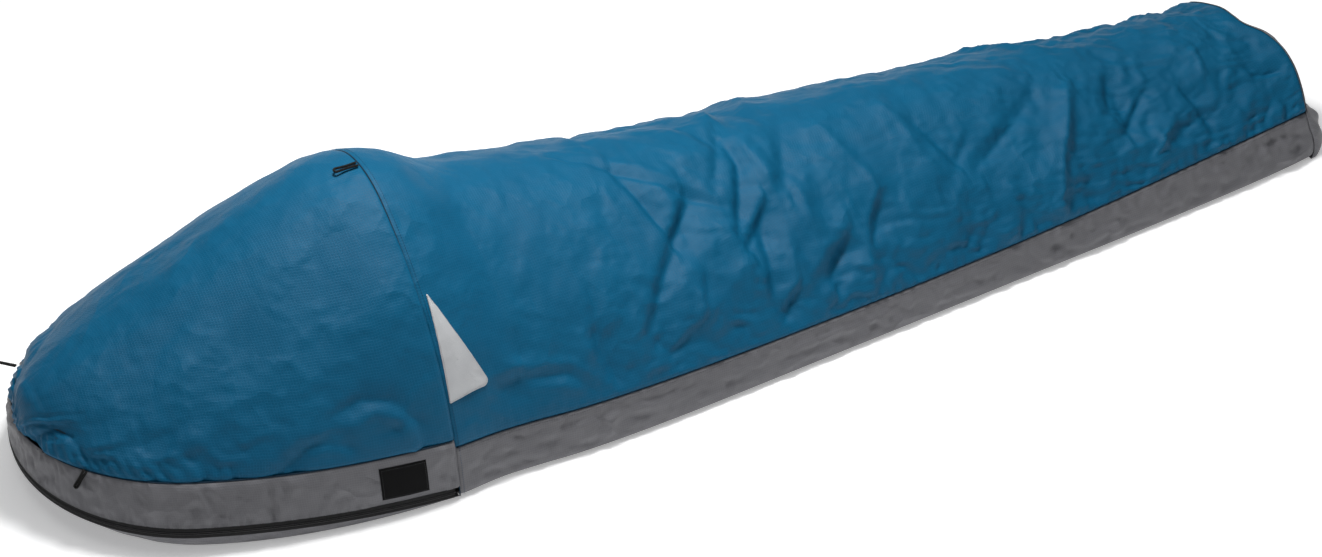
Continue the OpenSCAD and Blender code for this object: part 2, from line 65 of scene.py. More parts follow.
# ---------------------------------------------------------------- driving dimensions

HOOP_X = joint("hood_swing")["pos_m"][0]
HEAD_LEN, BODY_LEN = 0.551, 1.559
HOOP_W, HOOP_H, TOP_R, TOP_A = 0.303, 0.390, 0.138, math.radians(30)
HOOD_W, NOSE_R = 0.309, 0.260
ZIP_H0, ZIP_H1, ZIP_HALF = 0.014, 0.046, 0.008
HOOD_SEAM = (0.096, 0.116)
BAND_H = (0.081, 0.061, 0.079)
CLOTH_T = 0.0006

TORSO_RIBS = np.array([
    (0, .303, .390), (.060, .300, .377), (.130, .301, .334), (.200, .304, .316), (.330, .300, .290),
    (.620, .277, .254), (.975, .246, .228), (1.330, .214, .190), (1.500, .194, .194), (1.559, .184, .205)])
# how far the foot end leans towards the foot (+) or the head (-), round the arch from the top
FOOT_LEAN = np.array([
    (0, -.046), (.08, -.041), (.18, -.020), (.30, -.006), (.42, -.001), (.55, 0), (.78, 0), (.90, .008),
    (.97, .006), (1.0, .001)])
FOOT_DROP = 0.012
HOOD_RIDGE = np.array([
    (0, .395), (.060, .388), (.138, .362), (.275, .300), (.400, .243),
    (.480, .208), (.520, .188), (.545, .165), (.551, .140)])

# ---------------------------------------------------------------- shape of the sack


def smooth(x, table, column):
    """Hermite interpolation through stations, with the mean of both chords as the slope."""
    x = np.asarray(x, float)
    t, v = table[:, 0], table[:, column]
    chord = np.diff(v) / np.diff(t)
    slope = np.concatenate([chord[:1], (chord[1:] + chord[:-1]) / 2, chord[-1:]])
    i = np.clip(np.searchsorted(t, x, side="right") - 1, 0, len(t) - 2)
    w = t[i + 1] - t[i]
    s = (x - t[i]) / w
    return (v[i] * (1 + 2 * s) * (1 - s) ** 2 + slope[i] * w * s * (1 - s) ** 2
            + v[i + 1] * s * s * (3 - 2 * s) + slope[i + 1] * w * s * s * (s - 1))


def ease(x, low, high):
    """Smooth step from 0 at low to 1 at high."""
    t = np.clip((np.asarray(x, float) - low) / (high - low), 0, 1)
    return t * t * (3 - 2 * t)


ARC_K = ((HOOP_W ** 2 + HOOP_H ** 2 - 2 * HOOP_H * TOP_R)
         / (2 * (TOP_R + (HOOP_H - TOP_R) * math.cos(TOP_A) - HOOP_W * math.sin(TOP_A))))
SIDE_R = ARC_K + TOP_R
SIDE_CY = -ARC_K * math.sin(TOP_A)
SIDE_CZ = HOOP_H - TOP_R - ARC_K * math.cos(TOP_A)
BASE_A = math.atan2(-SIDE_CZ, HOOP_W - SIDE_CY)
APEX_LEN = TOP_R * TOP_A
HALF_LEN = APEX_LEN + SIDE_R * (math.pi / 2 - TOP_A - BASE_A)
MEAN_HALF_LEN = 0.85 * HALF_LEN      # half the way round the torso, on average over its length


def arch(u):
    """y, z and the outward normal on the hoop's arch, for u from -1 (near base) to 1 (far base)."""
    s = np.abs(u) * HALF_LEN
    sign = np.sign(u)
    top = s <= APEX_LEN
    p = np.where(top, s / TOP_R, TOP_A + (s - APEX_LEN) / SIDE_R)
    y = np.where(top, TOP_R * np.sin(p), SIDE_CY + SIDE_R * np.sin(p))
    z = np.where(top, HOOP_H - TOP_R + TOP_R * np.cos(p), SIDE_CZ + SIDE_R * np.cos(p))
    return sign * y, z, sign * np.sin(p), np.cos(p)


def arch_u(share):
    """Place on the side arc at a share of the arch's height."""
    p = np.arccos(np.clip((share * HOOP_H - SIDE_CZ) / SIDE_R, -1, 1))
    return (APEX_LEN + SIDE_R * (p - TOP_A)) / HALF_LEN


def torso(d, u, out=0.0):
    """Torso surface: d behind the hoop, u round the arch, out beyond the cloth's face."""
    y, z, ny, nz = arch(u)
    near_foot = ease(d, BODY_LEN - 0.18, BODY_LEN)
    # the far half of the end leans in down to a lower height than the near half
    down = np.clip(np.abs(u), 0, 1)
    d = d + smooth(np.where(np.sign(u) > 0, down ** 3, down), FOOT_LEAN, 1) * near_foot
    # the last few centimetres swell out to meet the hood's edge at the hoop seam
    out = out + 0.0055 * (1 - ease(d, 0.0, 0.09))
    return np.stack([HOOP_X + d + 0 * y,
                     smooth(d, TORSO_RIBS, 1) / HOOP_W * y + out * ny,
                     smooth(d, TORSO_RIBS, 2) / HOOP_H * z + out * nz
                     - FOOT_DROP * near_foot * ease(z / HOOP_H, 0.60, 1.0)], -1)


def band_z(d):
    wave = np.sin(np.pi * np.clip(d, 0, BODY_LEN) / BODY_LEN)
    end = np.where(d < BODY_LEN / 2, BAND_H[0], BAND_H[2])
    return end + (BAND_H[1] - end) * wave


def band_u(d, dz=0.0):
    return arch_u((band_z(d) + dz) / smooth(d, TORSO_RIBS, 2))


NOSE_A = math.pi / 2 - 2 * math.atan((HOOD_W - NOSE_R) / (HEAD_LEN - NOSE_R))
PLAN_R = NOSE_R + (HEAD_LEN - NOSE_R) / math.cos(NOSE_A)
PLAN_JOIN = (HEAD_LEN - NOSE_R) + NOSE_R * math.cos(NOSE_A)


def plan_w(q, e=0.0):
    """Half width of the head's outline q ahead of the hoop, e inside the zip."""
    side = np.sqrt((PLAN_R - e) ** 2 - q * q) - (PLAN_R - HOOD_W)
    nose = np.sqrt(np.maximum(0, (NOSE_R - e) ** 2 - (q - (HEAD_LEN - NOSE_R)) ** 2))
    return np.where(q < PLAN_JOIN, side, nose)


def zip_z(q):
    return ZIP_H0 + (ZIP_H1 - ZIP_H0) * q / HEAD_LEN


def hood_h(q, e=0.0):
    return smooth(np.clip(q, 0, None) * HEAD_LEN / (HEAD_LEN - e), HOOD_RIDGE, 1) - e


def hood(q, u, e=0.0):
    """Hood surface: q ahead of the hoop, u round the arch, e inside the cloth's face."""
    y, z, _, _ = arch(u)
    return np.stack([HOOP_X - q + 0 * y, plan_w(q, e) / HOOP_W * y,
                     zip_z(q) + (hood_h(q, e) - zip_z(q)) * z / HOOP_H], -1)


def hood_u(q, z, e=0.0):
    return arch_u((z - zip_z(q)) / (hood_h(q, e) - zip_z(q)))


def hood_seam_z(q):
    return HOOD_SEAM[0] + (HOOD_SEAM[1] - HOOD_SEAM[0]) * q / HEAD_LEN


def head_q(k, e=0.0, start=0.0):
    """Stations ahead of the hoop, closer together towards the nose, for k from 0 to 1."""
    return start + (HEAD_LEN - e - start) * np.sin(np.asarray(k, float) * math.pi / 2)


# ---------------------------------------------------------------- mesh helpers


def unit(v):
    """Vectors scaled to a length of 1."""
    v = np.asarray(v, float)
    return v / np.maximum(np.linalg.norm(v, axis=-1, keepdims=True), 1e-12)


def normals_of(grid):
    """Unit normals of a grid of points, along rows x columns."""
    return unit(np.cross(np.gradient(grid, axis=0), np.gradient(grid, axis=1)))


def lengths_along(path):
    """Distance along a line of points, from 0 at the first one."""
    return np.concatenate([[0], np.cumsum(np.linalg.norm(np.diff(path, axis=0), axis=1))])


def resample(s, reach, path):
    """The points of a path at distances s, where reach holds the distances of its own points."""
    return np.stack([np.interp(s, reach, column) for column in path.T], -1)


def placed(name, data):
    """An object in the scene, for a mesh, a light or a camera."""
    obj = bpy.data.objects.new(name, data)
    bpy.context.collection.objects.link(obj)
    return obj


def mesh_object(name, points, faces, uv=None):
    """An object made of points and faces. uv holds metres along the cloth, for the weave."""
    mesh = bpy.data.meshes.new(name)
    mesh.from_pydata(np.reshape(points, (-1, 3)).tolist(), [], faces)
    if uv is not None:
        layer = mesh.uv_layers.new(name="cloth")
        loops = np.empty(len(mesh.loops), np.int32)
        mesh.loops.foreach_get("vertex_index", loops)
        layer.data.foreach_set("uv", uv.reshape(-1, 2)[loops].ravel().astype(np.float32))
    return placed(name, mesh)


def grid_object(name, grid, weld=False, flip=False):
    """Quad mesh over a grid of points."""
    rows, cols = grid.shape[:2]
    i, j = np.meshgrid(np.arange(rows - 1), np.arange(cols - 1), indexing="ij")
    a = (i * cols + j).ravel()
    quads = np.stack([a, a + 1, a + cols + 1, a + cols], -1)
    if flip:
        quads = quads[:, ::-1]
    along = np.cumsum(np.linalg.norm(np.diff(grid, axis=0, prepend=grid[:1]), axis=-1), axis=0)
    across = np.cumsum(np.linalg.norm(np.diff(grid, axis=1, prepend=grid[:, :1]), axis=-1), axis=1)
    obj = mesh_object(name, grid, quads.tolist(), np.stack([along, across], -1))
    if weld:
        modify(obj, "WELD", merge_threshold=1e-5)
    shade_smooth(obj)
    return obj


def shade_smooth(obj):
    obj.data.polygons.foreach_set("use_smooth", [True] * len(obj.data.polygons))


def modify(obj, kind, **settings):
    """Adds a modifier and applies it at once."""
    modifier = obj.modifiers.new(kind.lower(), kind)
    for key, value in settings.items():
        setattr(modifier, key, value)
    bpy.context.view_layer.objects.active = obj
    with bpy.context.temp_override(object=obj, active_object=obj):
        bpy.ops.object.modifier_apply(modifier=modifier.name)


def thicken(obj, thickness=CLOTH_T, inside=None):
    """Gives a sheet its thickness inwards. inside is the material of its inner face."""
    if inside is not None:
        obj.data.materials.append(inside)
    modify(obj, "SOLIDIFY", thickness=thickness, offset=-1, use_even_offset=False,
           material_offset=1 if inside is not None else 0)


def points_of(obj, what="co"):
    """The places of an object's vertices, or their normals with what="normal"."""
    values = np.empty(len(obj.data.vertices) * 3)
    obj.data.vertices.foreach_get(what, values)
    return values.reshape(-1, 3)


def set_points(obj, co):
    obj.data.vertices.foreach_set("co", np.asarray(co, float).ravel())
    obj.data.update()


def swept_faces(n, m):
    """Faces round n rings of m points each, closed at both ends."""
    faces = [(i * m + k, i * m + (k + 1) % m, (i + 1) * m + (k + 1) % m, (i + 1) * m + k)
             for i in range(n - 1) for k in range(m)]
    return faces + [tuple(range(m))[::-1], tuple(range((n - 1) * m, n * m))]


def copies_object(name, points, faces):
    """An object of many small copies, with their points in rows of points and the faces of one."""
    count, size = points.shape[:2]
    every = [tuple(size * i + v for v in face) for i in range(count) for face in faces]
    return mesh_object(name, points, every)


def frames_along(tangent, side):
    """Directions to the side and up, carried along a path without twist."""
    sides = []
    for t in tangent:
        side = unit(side - (side @ t) * t)
        sides.append(side)
    return np.array(sides), np.cross(tangent, sides)


def tube(name, path, radius, sides=8):
    """Round tube swept along points."""
    tangent = unit(np.gradient(path, axis=0))
    up = (0.0, 1.0, 0.0) if abs(tangent[0][2]) > 0.9 else (0.0, 0.0, 1.0)
    side, lift = frames_along(tangent, unit(np.cross(up, tangent[0])))
    a = np.linspace(0, 2 * np.pi, sides, endpoint=False)[:, None]
    rings = path[:, None] + radius * (np.cos(a) * side[:, None] + np.sin(a) * lift[:, None])
    obj = mesh_object(name, rings, swept_faces(len(path), sides))
    shade_smooth(obj)
    return obj


def joined(name, objects):
    """One object out of several."""
    bpy.ops.object.select_all(action="DESELECT")
    for o in objects:
        o.select_set(True)
    bpy.context.view_layer.objects.active = objects[0]
    bpy.ops.object.join()
    objects[0].name = name
    return objects[0]


def waves(x, y, seed, count, low, high):
    """Smooth seeded noise: a sum of sine waves with wavelengths from low to high."""
    rng = np.random.default_rng(seed)
    total = np.zeros(np.broadcast(x, y).shape)
    for _ in range(count):
        a, phase = rng.uniform(0, 2 * np.pi, 2)
        length = math.exp(rng.uniform(math.log(low), math.log(high)))
        total += np.sin(2 * np.pi / length * (x * math.cos(a) + y * math.sin(a)) + phase)
    return total / math.sqrt(count)


# ---------------------------------------------------------------- materials


class Nodes:
    """Small helper that builds a material's node tree."""

    def __init__(self, name):
        self.material = bpy.data.materials.new(name)
        self.material.use_nodes = True
        self.tree = self.material.node_tree
        self.shader = self.tree.nodes["Principled BSDF"]
        self.place = self.add("TexCoord").outputs["Object"]

    def feed(self, socket, value):
        if isinstance(value, bpy.types.NodeSocket):
            self.tree.links.new(value, socket)
        else:
            socket.default_value = value

    def add(self, kind, **inputs):
        node = self.tree.nodes.new("ShaderNode" + kind)
        for key, value in inputs.items():
            if hasattr(node, key) and key not in node.inputs:
                setattr(node, key, value)
            else:
                self.feed(node.inputs[key], value)
        return node

    def math(self, operation, *values, kind="Math"):
        node = self.add(kind, operation=operation)
        for socket, value in zip(node.inputs, values):
            self.feed(socket, value)
        return node.outputs[0]

    def times(self, a, b):
        return self.math("MULTIPLY", a, b)

    def mix(self, factor, a, b):
        node = self.add("Mix", data_type="RGBA")
        for key, value in (("Factor", factor), ("A", a), ("B", b)):
            self.feed([s for s in node.inputs if s.name == key and s.enabled][0], value)
        return [s for s in node.outputs if s.enabled][0]

    def noise(self, scale, detail=2.0, place=None, **inputs):
        place = self.place if place is None else place
        return self.add("TexNoise", Vector=place, Scale=scale, Detail=detail, **inputs).outputs["Fac"]

    def span(self, value, low, high, top=1.0):
        """0 where a value is low, up to top where it is high."""
        ends = {"From Min": low, "From Max": high, "To Max": top, "Value": value}
        return self.add("MapRange", **ends).outputs[0]

    def cell_edge(self, value, pitch):
        """How far a place is from the middle of its cell, from 0 to 0.5."""
        across = self.math("FRACT", self.math("DIVIDE", value, pitch))
        return self.math("ABSOLUTE", self.math("SUBTRACT", across, 0.5))

    def link(self, socket, name):
        self.tree.links.new(socket, self.shader.inputs[name])

    def bump(self, height):
        self.link(self.add("Bump", Height=height, Strength=1.0, Distance=1.0).outputs[0], "Normal")

    def constants(self, **values):
        """Values that are the same all over the surface, set on the shader's own sockets."""
        for name, value in values.items():
            self.shader.inputs[name.replace("_", " ")].default_value = value
        return self.material


def rgb(r, g, b):
    """Scene-linear colour from 8-bit sRGB numbers."""
    def linear(v):
        v /= 255
        return v / 12.92 if v <= 0.04045 else ((v + 0.055) / 1.055) ** 2.4
    return (linear(r), linear(g), linear(b), 1)


def ripstop(name, colour, deep, light, rough=0.5, grid=0.0042, sheen=0.25, relief=0.35, shine=0.2):
    """Coated ripstop nylon: plain weave, a square grid of thicker threads, mottling and crinkles."""
    thread_pitch, line_height, thread_height = 0.0007, 0.00015, 0.00003
    crinkle_height, facet_height, fuzz_height = (h * relief for h in (0.0042, 0.011, 0.00022))
    m = Nodes(name)
    axes = m.add("SeparateXYZ", Vector=m.add("UVMap").outputs["UV"]).outputs
    lines = [m.span(m.cell_edge(axes[axis], grid), 0.36, 0.46) for axis in ("X", "Y")]
    threads = [m.math("SINE", m.times(axes[axis], 2 * math.pi / thread_pitch)) for axis in ("X", "Y")]
    raised = m.math("MAXIMUM", *lines)
    weave = m.times(*threads)
    broad = m.noise(9.0, 3.0, Roughness=0.55)
    fine = m.noise(90.0, 4.0, Roughness=0.6)
    crinkle = m.noise(17.0, 4.0, noise_type="RIDGED_MULTIFRACTAL", normalize=True, Roughness=0.5,
                      Distortion=0.8)
    base = m.mix(m.span(broad, 0.3, 0.7), deep, colour)
    base = m.mix(m.span(fine, 0.4, 0.8, 0.10), base, light)
    m.link(m.mix(m.times(raised, 0.28), base, light), "Base Color")
    dull = m.math("MULTIPLY_ADD", fine, 0.14, rough - 0.07)
    m.link(m.math("MULTIPLY_ADD", raised, 0.06, dull), "Roughness")
    height = m.math("ADD", m.times(raised, line_height), m.times(weave, thread_height))
    height = m.math("ADD", height, m.times(crinkle, crinkle_height))
    warp = m.add("TexNoise", Vector=m.place, Scale=14.0, Detail=2.0).outputs["Color"]
    warped = m.math("MULTIPLY_ADD", warp, (0.05, 0.05, 0.05), m.place, kind="VectorMath")
    facets = m.add("TexVoronoi", Vector=warped, Scale=26.0).outputs["Distance"]
    height = m.math("ADD", height, m.times(m.times(facets, m.span(broad, 0.45, 0.65)), facet_height))
    m.bump(m.math("ADD", height, m.times(fine, fuzz_height)))
    return m.constants(Sheen_Weight=sheen, Sheen_Roughness=0.45, Specular_IOR_Level=shine)


def woven(name, colour, light, pitch=0.0012, rough=0.75, relief=0.00012):
    """Twill webbing or tape: diagonal ribs with fuzz."""
    m = Nodes(name)
    x, y, z = m.add("SeparateXYZ", Vector=m.place).outputs
    run, other = m.math("ADD", x, m.math("ADD", y, z)), m.math("SUBTRACT", z, x)
    ribs = m.math("SINE", m.times(run, 2 * math.pi / pitch))
    cloth = m.times(ribs, m.math("SINE", m.times(other, 2 * math.pi / (pitch * 0.8))))
    noise = m.noise(160.0, 4.0)
    share = m.math("MULTIPLY_ADD", cloth, 0.2, m.times(noise, 0.6))
    m.link(m.mix(share, colour, light), "Base Color")
    m.link(m.math("MULTIPLY_ADD", noise, 0.2, rough - 0.1), "Roughness")
    m.bump(m.math("ADD", m.times(cloth, relief), m.times(noise, relief * 2)))
    return m.constants(Specular_IOR_Level=0.15, Sheen_Weight=0.05)


def solid(name, colour, worn, rough=0.4, metallic=0.0, scale=60.0, relief=0.0001):
    """Moulded plastic, painted zinc or drawn tube: fine speckle and pitted relief."""
    m = Nodes(name)
    noise = m.noise(scale, 5.0, Roughness=0.6)
    m.link(m.mix(m.times(m.span(noise, 0.4, 0.75), 0.6), colour, worn), "Base Color")
    m.link(m.math("MULTIPLY_ADD", noise, 0.2, rough - 0.1), "Roughness")
    m.bump(m.times(m.noise(scale * 12, 3.0), relief))
    return m.constants(Metallic=metallic)


def netting(name, colour):
    """Insect mesh: fine threads with clear gaps between them."""
    pitch, thread_share = 0.0016, 0.16
    m = Nodes(name)
    uv = m.add("UVMap").outputs["UV"]
    axes = m.add("SeparateXYZ", Vector=uv).outputs
    threads = [m.math("LESS_THAN", m.cell_edge(axes[axis], pitch), thread_share) for axis in ("X", "Y")]
    m.link(m.mix(m.noise(40.0, place=uv), colour, rgb(58, 58, 60)), "Base Color")
    m.link(m.math("MAXIMUM", *threads), "Alpha")
    return m.constants(Roughness=0.7)


BLUE = ripstop("blue ripstop", rgb(0, 89, 125), rgb(0, 83, 118), rgb(22, 111, 149), rough=0.48,
               sheen=0.0)
GRAY = ripstop("gray ripstop", rgb(112, 112, 116), rgb(104, 104, 108), rgb(136, 136, 139), rough=0.46,
               grid=0.0036, sheen=0.0, relief=0.6, shine=0.3)
LINING = ripstop("laminate lining", rgb(186, 188, 186), rgb(170, 172, 172), rgb(204, 206, 204), rough=0.6,
                 sheen=0.1)
FLOOR_CLOTH = ripstop("floor cloth", rgb(96, 96, 99), rgb(84, 84, 88), rgb(122, 122, 125), rough=0.5,
                      grid=0.0036, sheen=0.1)
REFLECT = ripstop("reflective cloth", rgb(208, 210, 212), rgb(186, 188, 191), rgb(232, 232, 232),
                  rough=0.38, grid=0.0018, sheen=0.0, relief=0.1)
LABEL = ripstop("blank label", rgb(15, 15, 16), rgb(9, 9, 10), rgb(38, 38, 40), rough=0.6, grid=0.0009,
                sheen=0.0, relief=0.1, shine=0.08)
TAPE = woven("zip tape", rgb(20, 20, 21), rgb(46, 46, 47))
WEBBING = woven("black webbing", rgb(24, 24, 25), rgb(58, 58, 60), pitch=0.0018, relief=0.0003)
CORD = woven("guy cord", rgb(16, 16, 17), rgb(60, 58, 54), pitch=0.0011, relief=0.0003)
BLUE_THREAD = woven("blue thread", rgb(14, 60, 92), rgb(36, 100, 140), pitch=0.0006)
PATCH_THREAD = woven("patch thread", rgb(150, 150, 154), rgb(190, 190, 192), pitch=0.0006)
GRAY_THREAD = woven("gray thread", rgb(62, 62, 64), rgb(110, 110, 112), pitch=0.0006)
# painted shade: darker blue and gray tubes laid at the bottom of the seam grooves, darkening them like the
# shade in a fold
BLUE_SEAM_SHADE = woven("painted blue seam shade", rgb(22, 44, 60), rgb(40, 66, 84), pitch=0.0009)
GRAY_SEAM_SHADE = woven("painted gray seam shade", rgb(46, 46, 48), rgb(80, 80, 82), pitch=0.0009)
COIL = solid("nylon coil", rgb(22, 22, 24), rgb(52, 52, 54), rough=0.35)
ZINC = solid("black zinc", rgb(38, 38, 40), rgb(92, 92, 92), rough=0.32, metallic=0.85)
PULL = solid("pull tab", rgb(24, 24, 25), rgb(50, 50, 52), rough=0.5)
PLUG = solid("pole tip", rgb(26, 26, 27), rgb(54, 54, 54), rough=0.45)
POLE = solid("anodised tube", rgb(196, 199, 204), rgb(150, 153, 160), rough=0.3, metallic=0.95,
             scale=30)
FERRULE = solid("drawn tube", rgb(172, 175, 180), rgb(130, 132, 136), rough=0.35, metallic=0.95,
                scale=30)
ELASTIC = woven("shock cord", rgb(20, 20, 20), rgb(90, 86, 80), pitch=0.0016)
NET = netting("insect mesh", rgb(30, 30, 32))

# ---------------------------------------------------------------- folds and cloth


def segment_distance(x, y, a, b):
    """Distance from points to a segment, the share along it, and 1 on its +x side or -1."""
    ax, ay, bx, by = *a, *b
    length = (bx - ax) ** 2 + (by - ay) ** 2
    t = np.clip(((x - ax) * (bx - ax) + (y - ay) * (by - ay)) / length, 0, 1)
    dx, dy = x - ax - t * (bx - ax), y - ay - t * (by - ay)
    return np.hypot(dx, dy), t, np.where(dx > 0, 1, -1)


def fold(d, u, path, width, depth, lean=0.0):
    """A crease along a path of (d, u) points: a ridge or, with a negative depth, a valley.

    Both flanks are nearly flat and meet in a sharp line that fades at its ends. lean from -1 to 1
    makes the flank on the foot side wider than the other one.
    """
    x, y = d, u * MEAN_HALF_LEN
    pts = [(p[0], p[1] * MEAN_HALF_LEN) for p in path]
    lengths = [math.dist(p, q) for p, q in zip(pts, pts[1:])]
    total, done = sum(lengths), 0.0
    best = np.full(np.broadcast(x, y).shape, 9.0)
    along = np.zeros(best.shape)
    side = np.ones(best.shape)
    for a, b, length in zip(pts, pts[1:], lengths):
        r, t, s = segment_distance(x, y, a, b)
        nearer = r < best
        best = np.where(nearer, r, best)
        side = np.where(nearer, s, side)
        along = np.where(nearer, (done + t * length) / total, along)
        done += length
    fade = np.sin(np.pi * np.clip(0.12 + 0.76 * along, 0, 1)) ** 0.7
    reach = best / (width * (1 + lean * side * ease(best, 0, width)))
    return depth * fade * np.exp(-reach ** 1.15)


def creases(x, y, seed, count, low, high, cover=0.4, spread=0.7):
    """Crumpled cloth: flat facets between sharp creases. Their mean slope is about a half.

    Each set of creases shows only in patches, over the share cover, and runs mostly along y.
    """
    rng = np.random.default_rng(seed)
    total = np.zeros(np.broadcast(x, y).shape)
    edge = 1.6 * (1 - cover)
    for _ in range(count):
        a, phase = rng.normal(0, spread), rng.uniform(0, 1)
        length = math.exp(rng.uniform(math.log(low), math.log(high)))
        bend, patch = (int(n) for n in rng.integers(1 << 30, size=2))
        run = (x * math.cos(a) + y * math.sin(a)) / length + phase
        run = run + 0.28 * waves(x / length, y / length, bend, 4, 1.3, 4.0)
        shown = ease(waves(x / length, y / length, patch, 5, 2.0, 6.0), edge - 0.9, edge)
        total += length * 0.5 * (np.abs(run % 1 - 0.5) * 2 - 0.5) * shown
    return total / math.sqrt(count * cover)


def weigh(obj, name, weights):
    """Vertex group with the weights rounded to fiftieths."""
    group = obj.vertex_groups.new(name=name)
    levels = np.round(np.clip(weights, 0, 1) * 50) / 50
    for level in np.unique(levels):
        if level > 0:
            group.add(np.nonzero(levels == level)[0].tolist(), float(level), "REPLACE")


def cloth_settle(obj, pins, slack):
    """Lets a sheet with too much cloth settle into wrinkles.

    pins hold each point near its place, and slack is the share of the most extra cloth at each point.
    """
    most, frames, stiff, farthest = 0.045, 18, 12.0, 0.014
    weigh(obj, "pins", pins)
    weigh(obj, "slack", slack)
    before = points_of(obj)
    modifier = obj.modifiers.new("cloth", "CLOTH")
    settings = dict(
        quality=6, mass=0.15, tension_stiffness=stiff, compression_stiffness=stiff,
        shear_stiffness=stiff * 0.5, bending_stiffness=0.15, tension_damping=4.0,
        compression_damping=4.0, shear_damping=4.0, air_damping=2.0, shrink_min=0.0, shrink_max=-most,
        vertex_group_shrink="slack", vertex_group_mass="pins", pin_stiffness=1.0, use_pressure=True,
        uniform_pressure_force=0.05)
    for name, value in settings.items():
        setattr(modifier.settings, name, value)
    modifier.settings.effector_weights.gravity = 0.0
    modifier.collision_settings.use_self_collision = False
    modifier.collision_settings.use_collision = False
    scene = bpy.context.scene
    scene.frame_start, scene.frame_end = 1, frames
    modifier.point_cache.frame_start, modifier.point_cache.frame_end = 1, frames
    for f in range(1, frames + 1):
        scene.frame_set(f)
    after = points_of(obj.evaluated_get(bpy.context.evaluated_depsgraph_get()))
    obj.modifiers.remove(modifier)
    scene.frame_set(1)
    move = after - before
    size = np.linalg.norm(move, axis=1, keepdims=True)
    move *= np.minimum(1, farthest / np.maximum(size, 1e-9)) ** 0.7
    set_points(obj, before + move)


def stations(length, step, fine=(0.0, 0.0012, 0.0026, 0.0045, 0.007, 0.0102)):
    """Distances from 0 to length, closer together at both ends, where cloth turns into its seams."""
    inner = np.linspace(fine[-1] + step * 0.8, length - fine[-1] - step * 0.8,
                        max(3, int(round((length - 2 * fine[-1]) / step))))
    return np.concatenate([fine, inner, length - np.array(fine)[::-1]])


def seam_dip(distance, depth=0.0026, width=0.0032):
    """How far cloth turns in towards a seam at a distance from it."""
    return depth * np.exp(-(np.abs(distance) / width) ** 1.5)


def stitches(name, path, outward, material, body, length=0.0026, gap=0.0014, thick=0.00032):
    """A row of thread stitches along points, each a small bar that stands off the cloth."""
    outward = np.broadcast_to(np.asarray(outward, float), path.shape)
    reach = lengths_along(path)
    starts = np.arange(gap, reach[-1] - length, length + gap)
    places = [resample(starts + length * share, reach, path) for share in (0, 0.5, 1)]
    normals = [unit(resample(starts + length * share, reach, outward)) for share in (0, 0.5, 1)]
    along = unit(places[2] - places[0])
    points = []
    for centre, normal, lift, half in zip(places, normals, (-0.6, 0.7, -0.6), (0.6, 1.0, 0.6)):
        side = np.cross(along, normal)
        for s, t in ((1, 0), (0, 1), (-1, 0), (0, -1)):
            points.append(centre + thick * (normal * (lift + t * half) + side * s * half))
    obj = copies_object(name, np.stack(points, 1), swept_faces(3, 4))
    shade_smooth(obj)
    return dress(obj, material, body)


def dress(obj, material, body, stands_for=()):
    """Material, body and replaced nodes of a finished piece. With a body pair it stays unparented, with
    its place baked into its points.
    """
    if len(obj.data.materials):
        obj.data.materials[0] = material
    else:
        obj.data.materials.append(material)
    if isinstance(body, tuple):
        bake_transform(obj)
    else:
        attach(obj, body)
    if stands_for:
        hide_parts(*stands_for)
    return obj


HOOD = ("sack", "hood")
DOOR = ("sack", "mesh_door")

# ---------------------------------------------------------------- torso

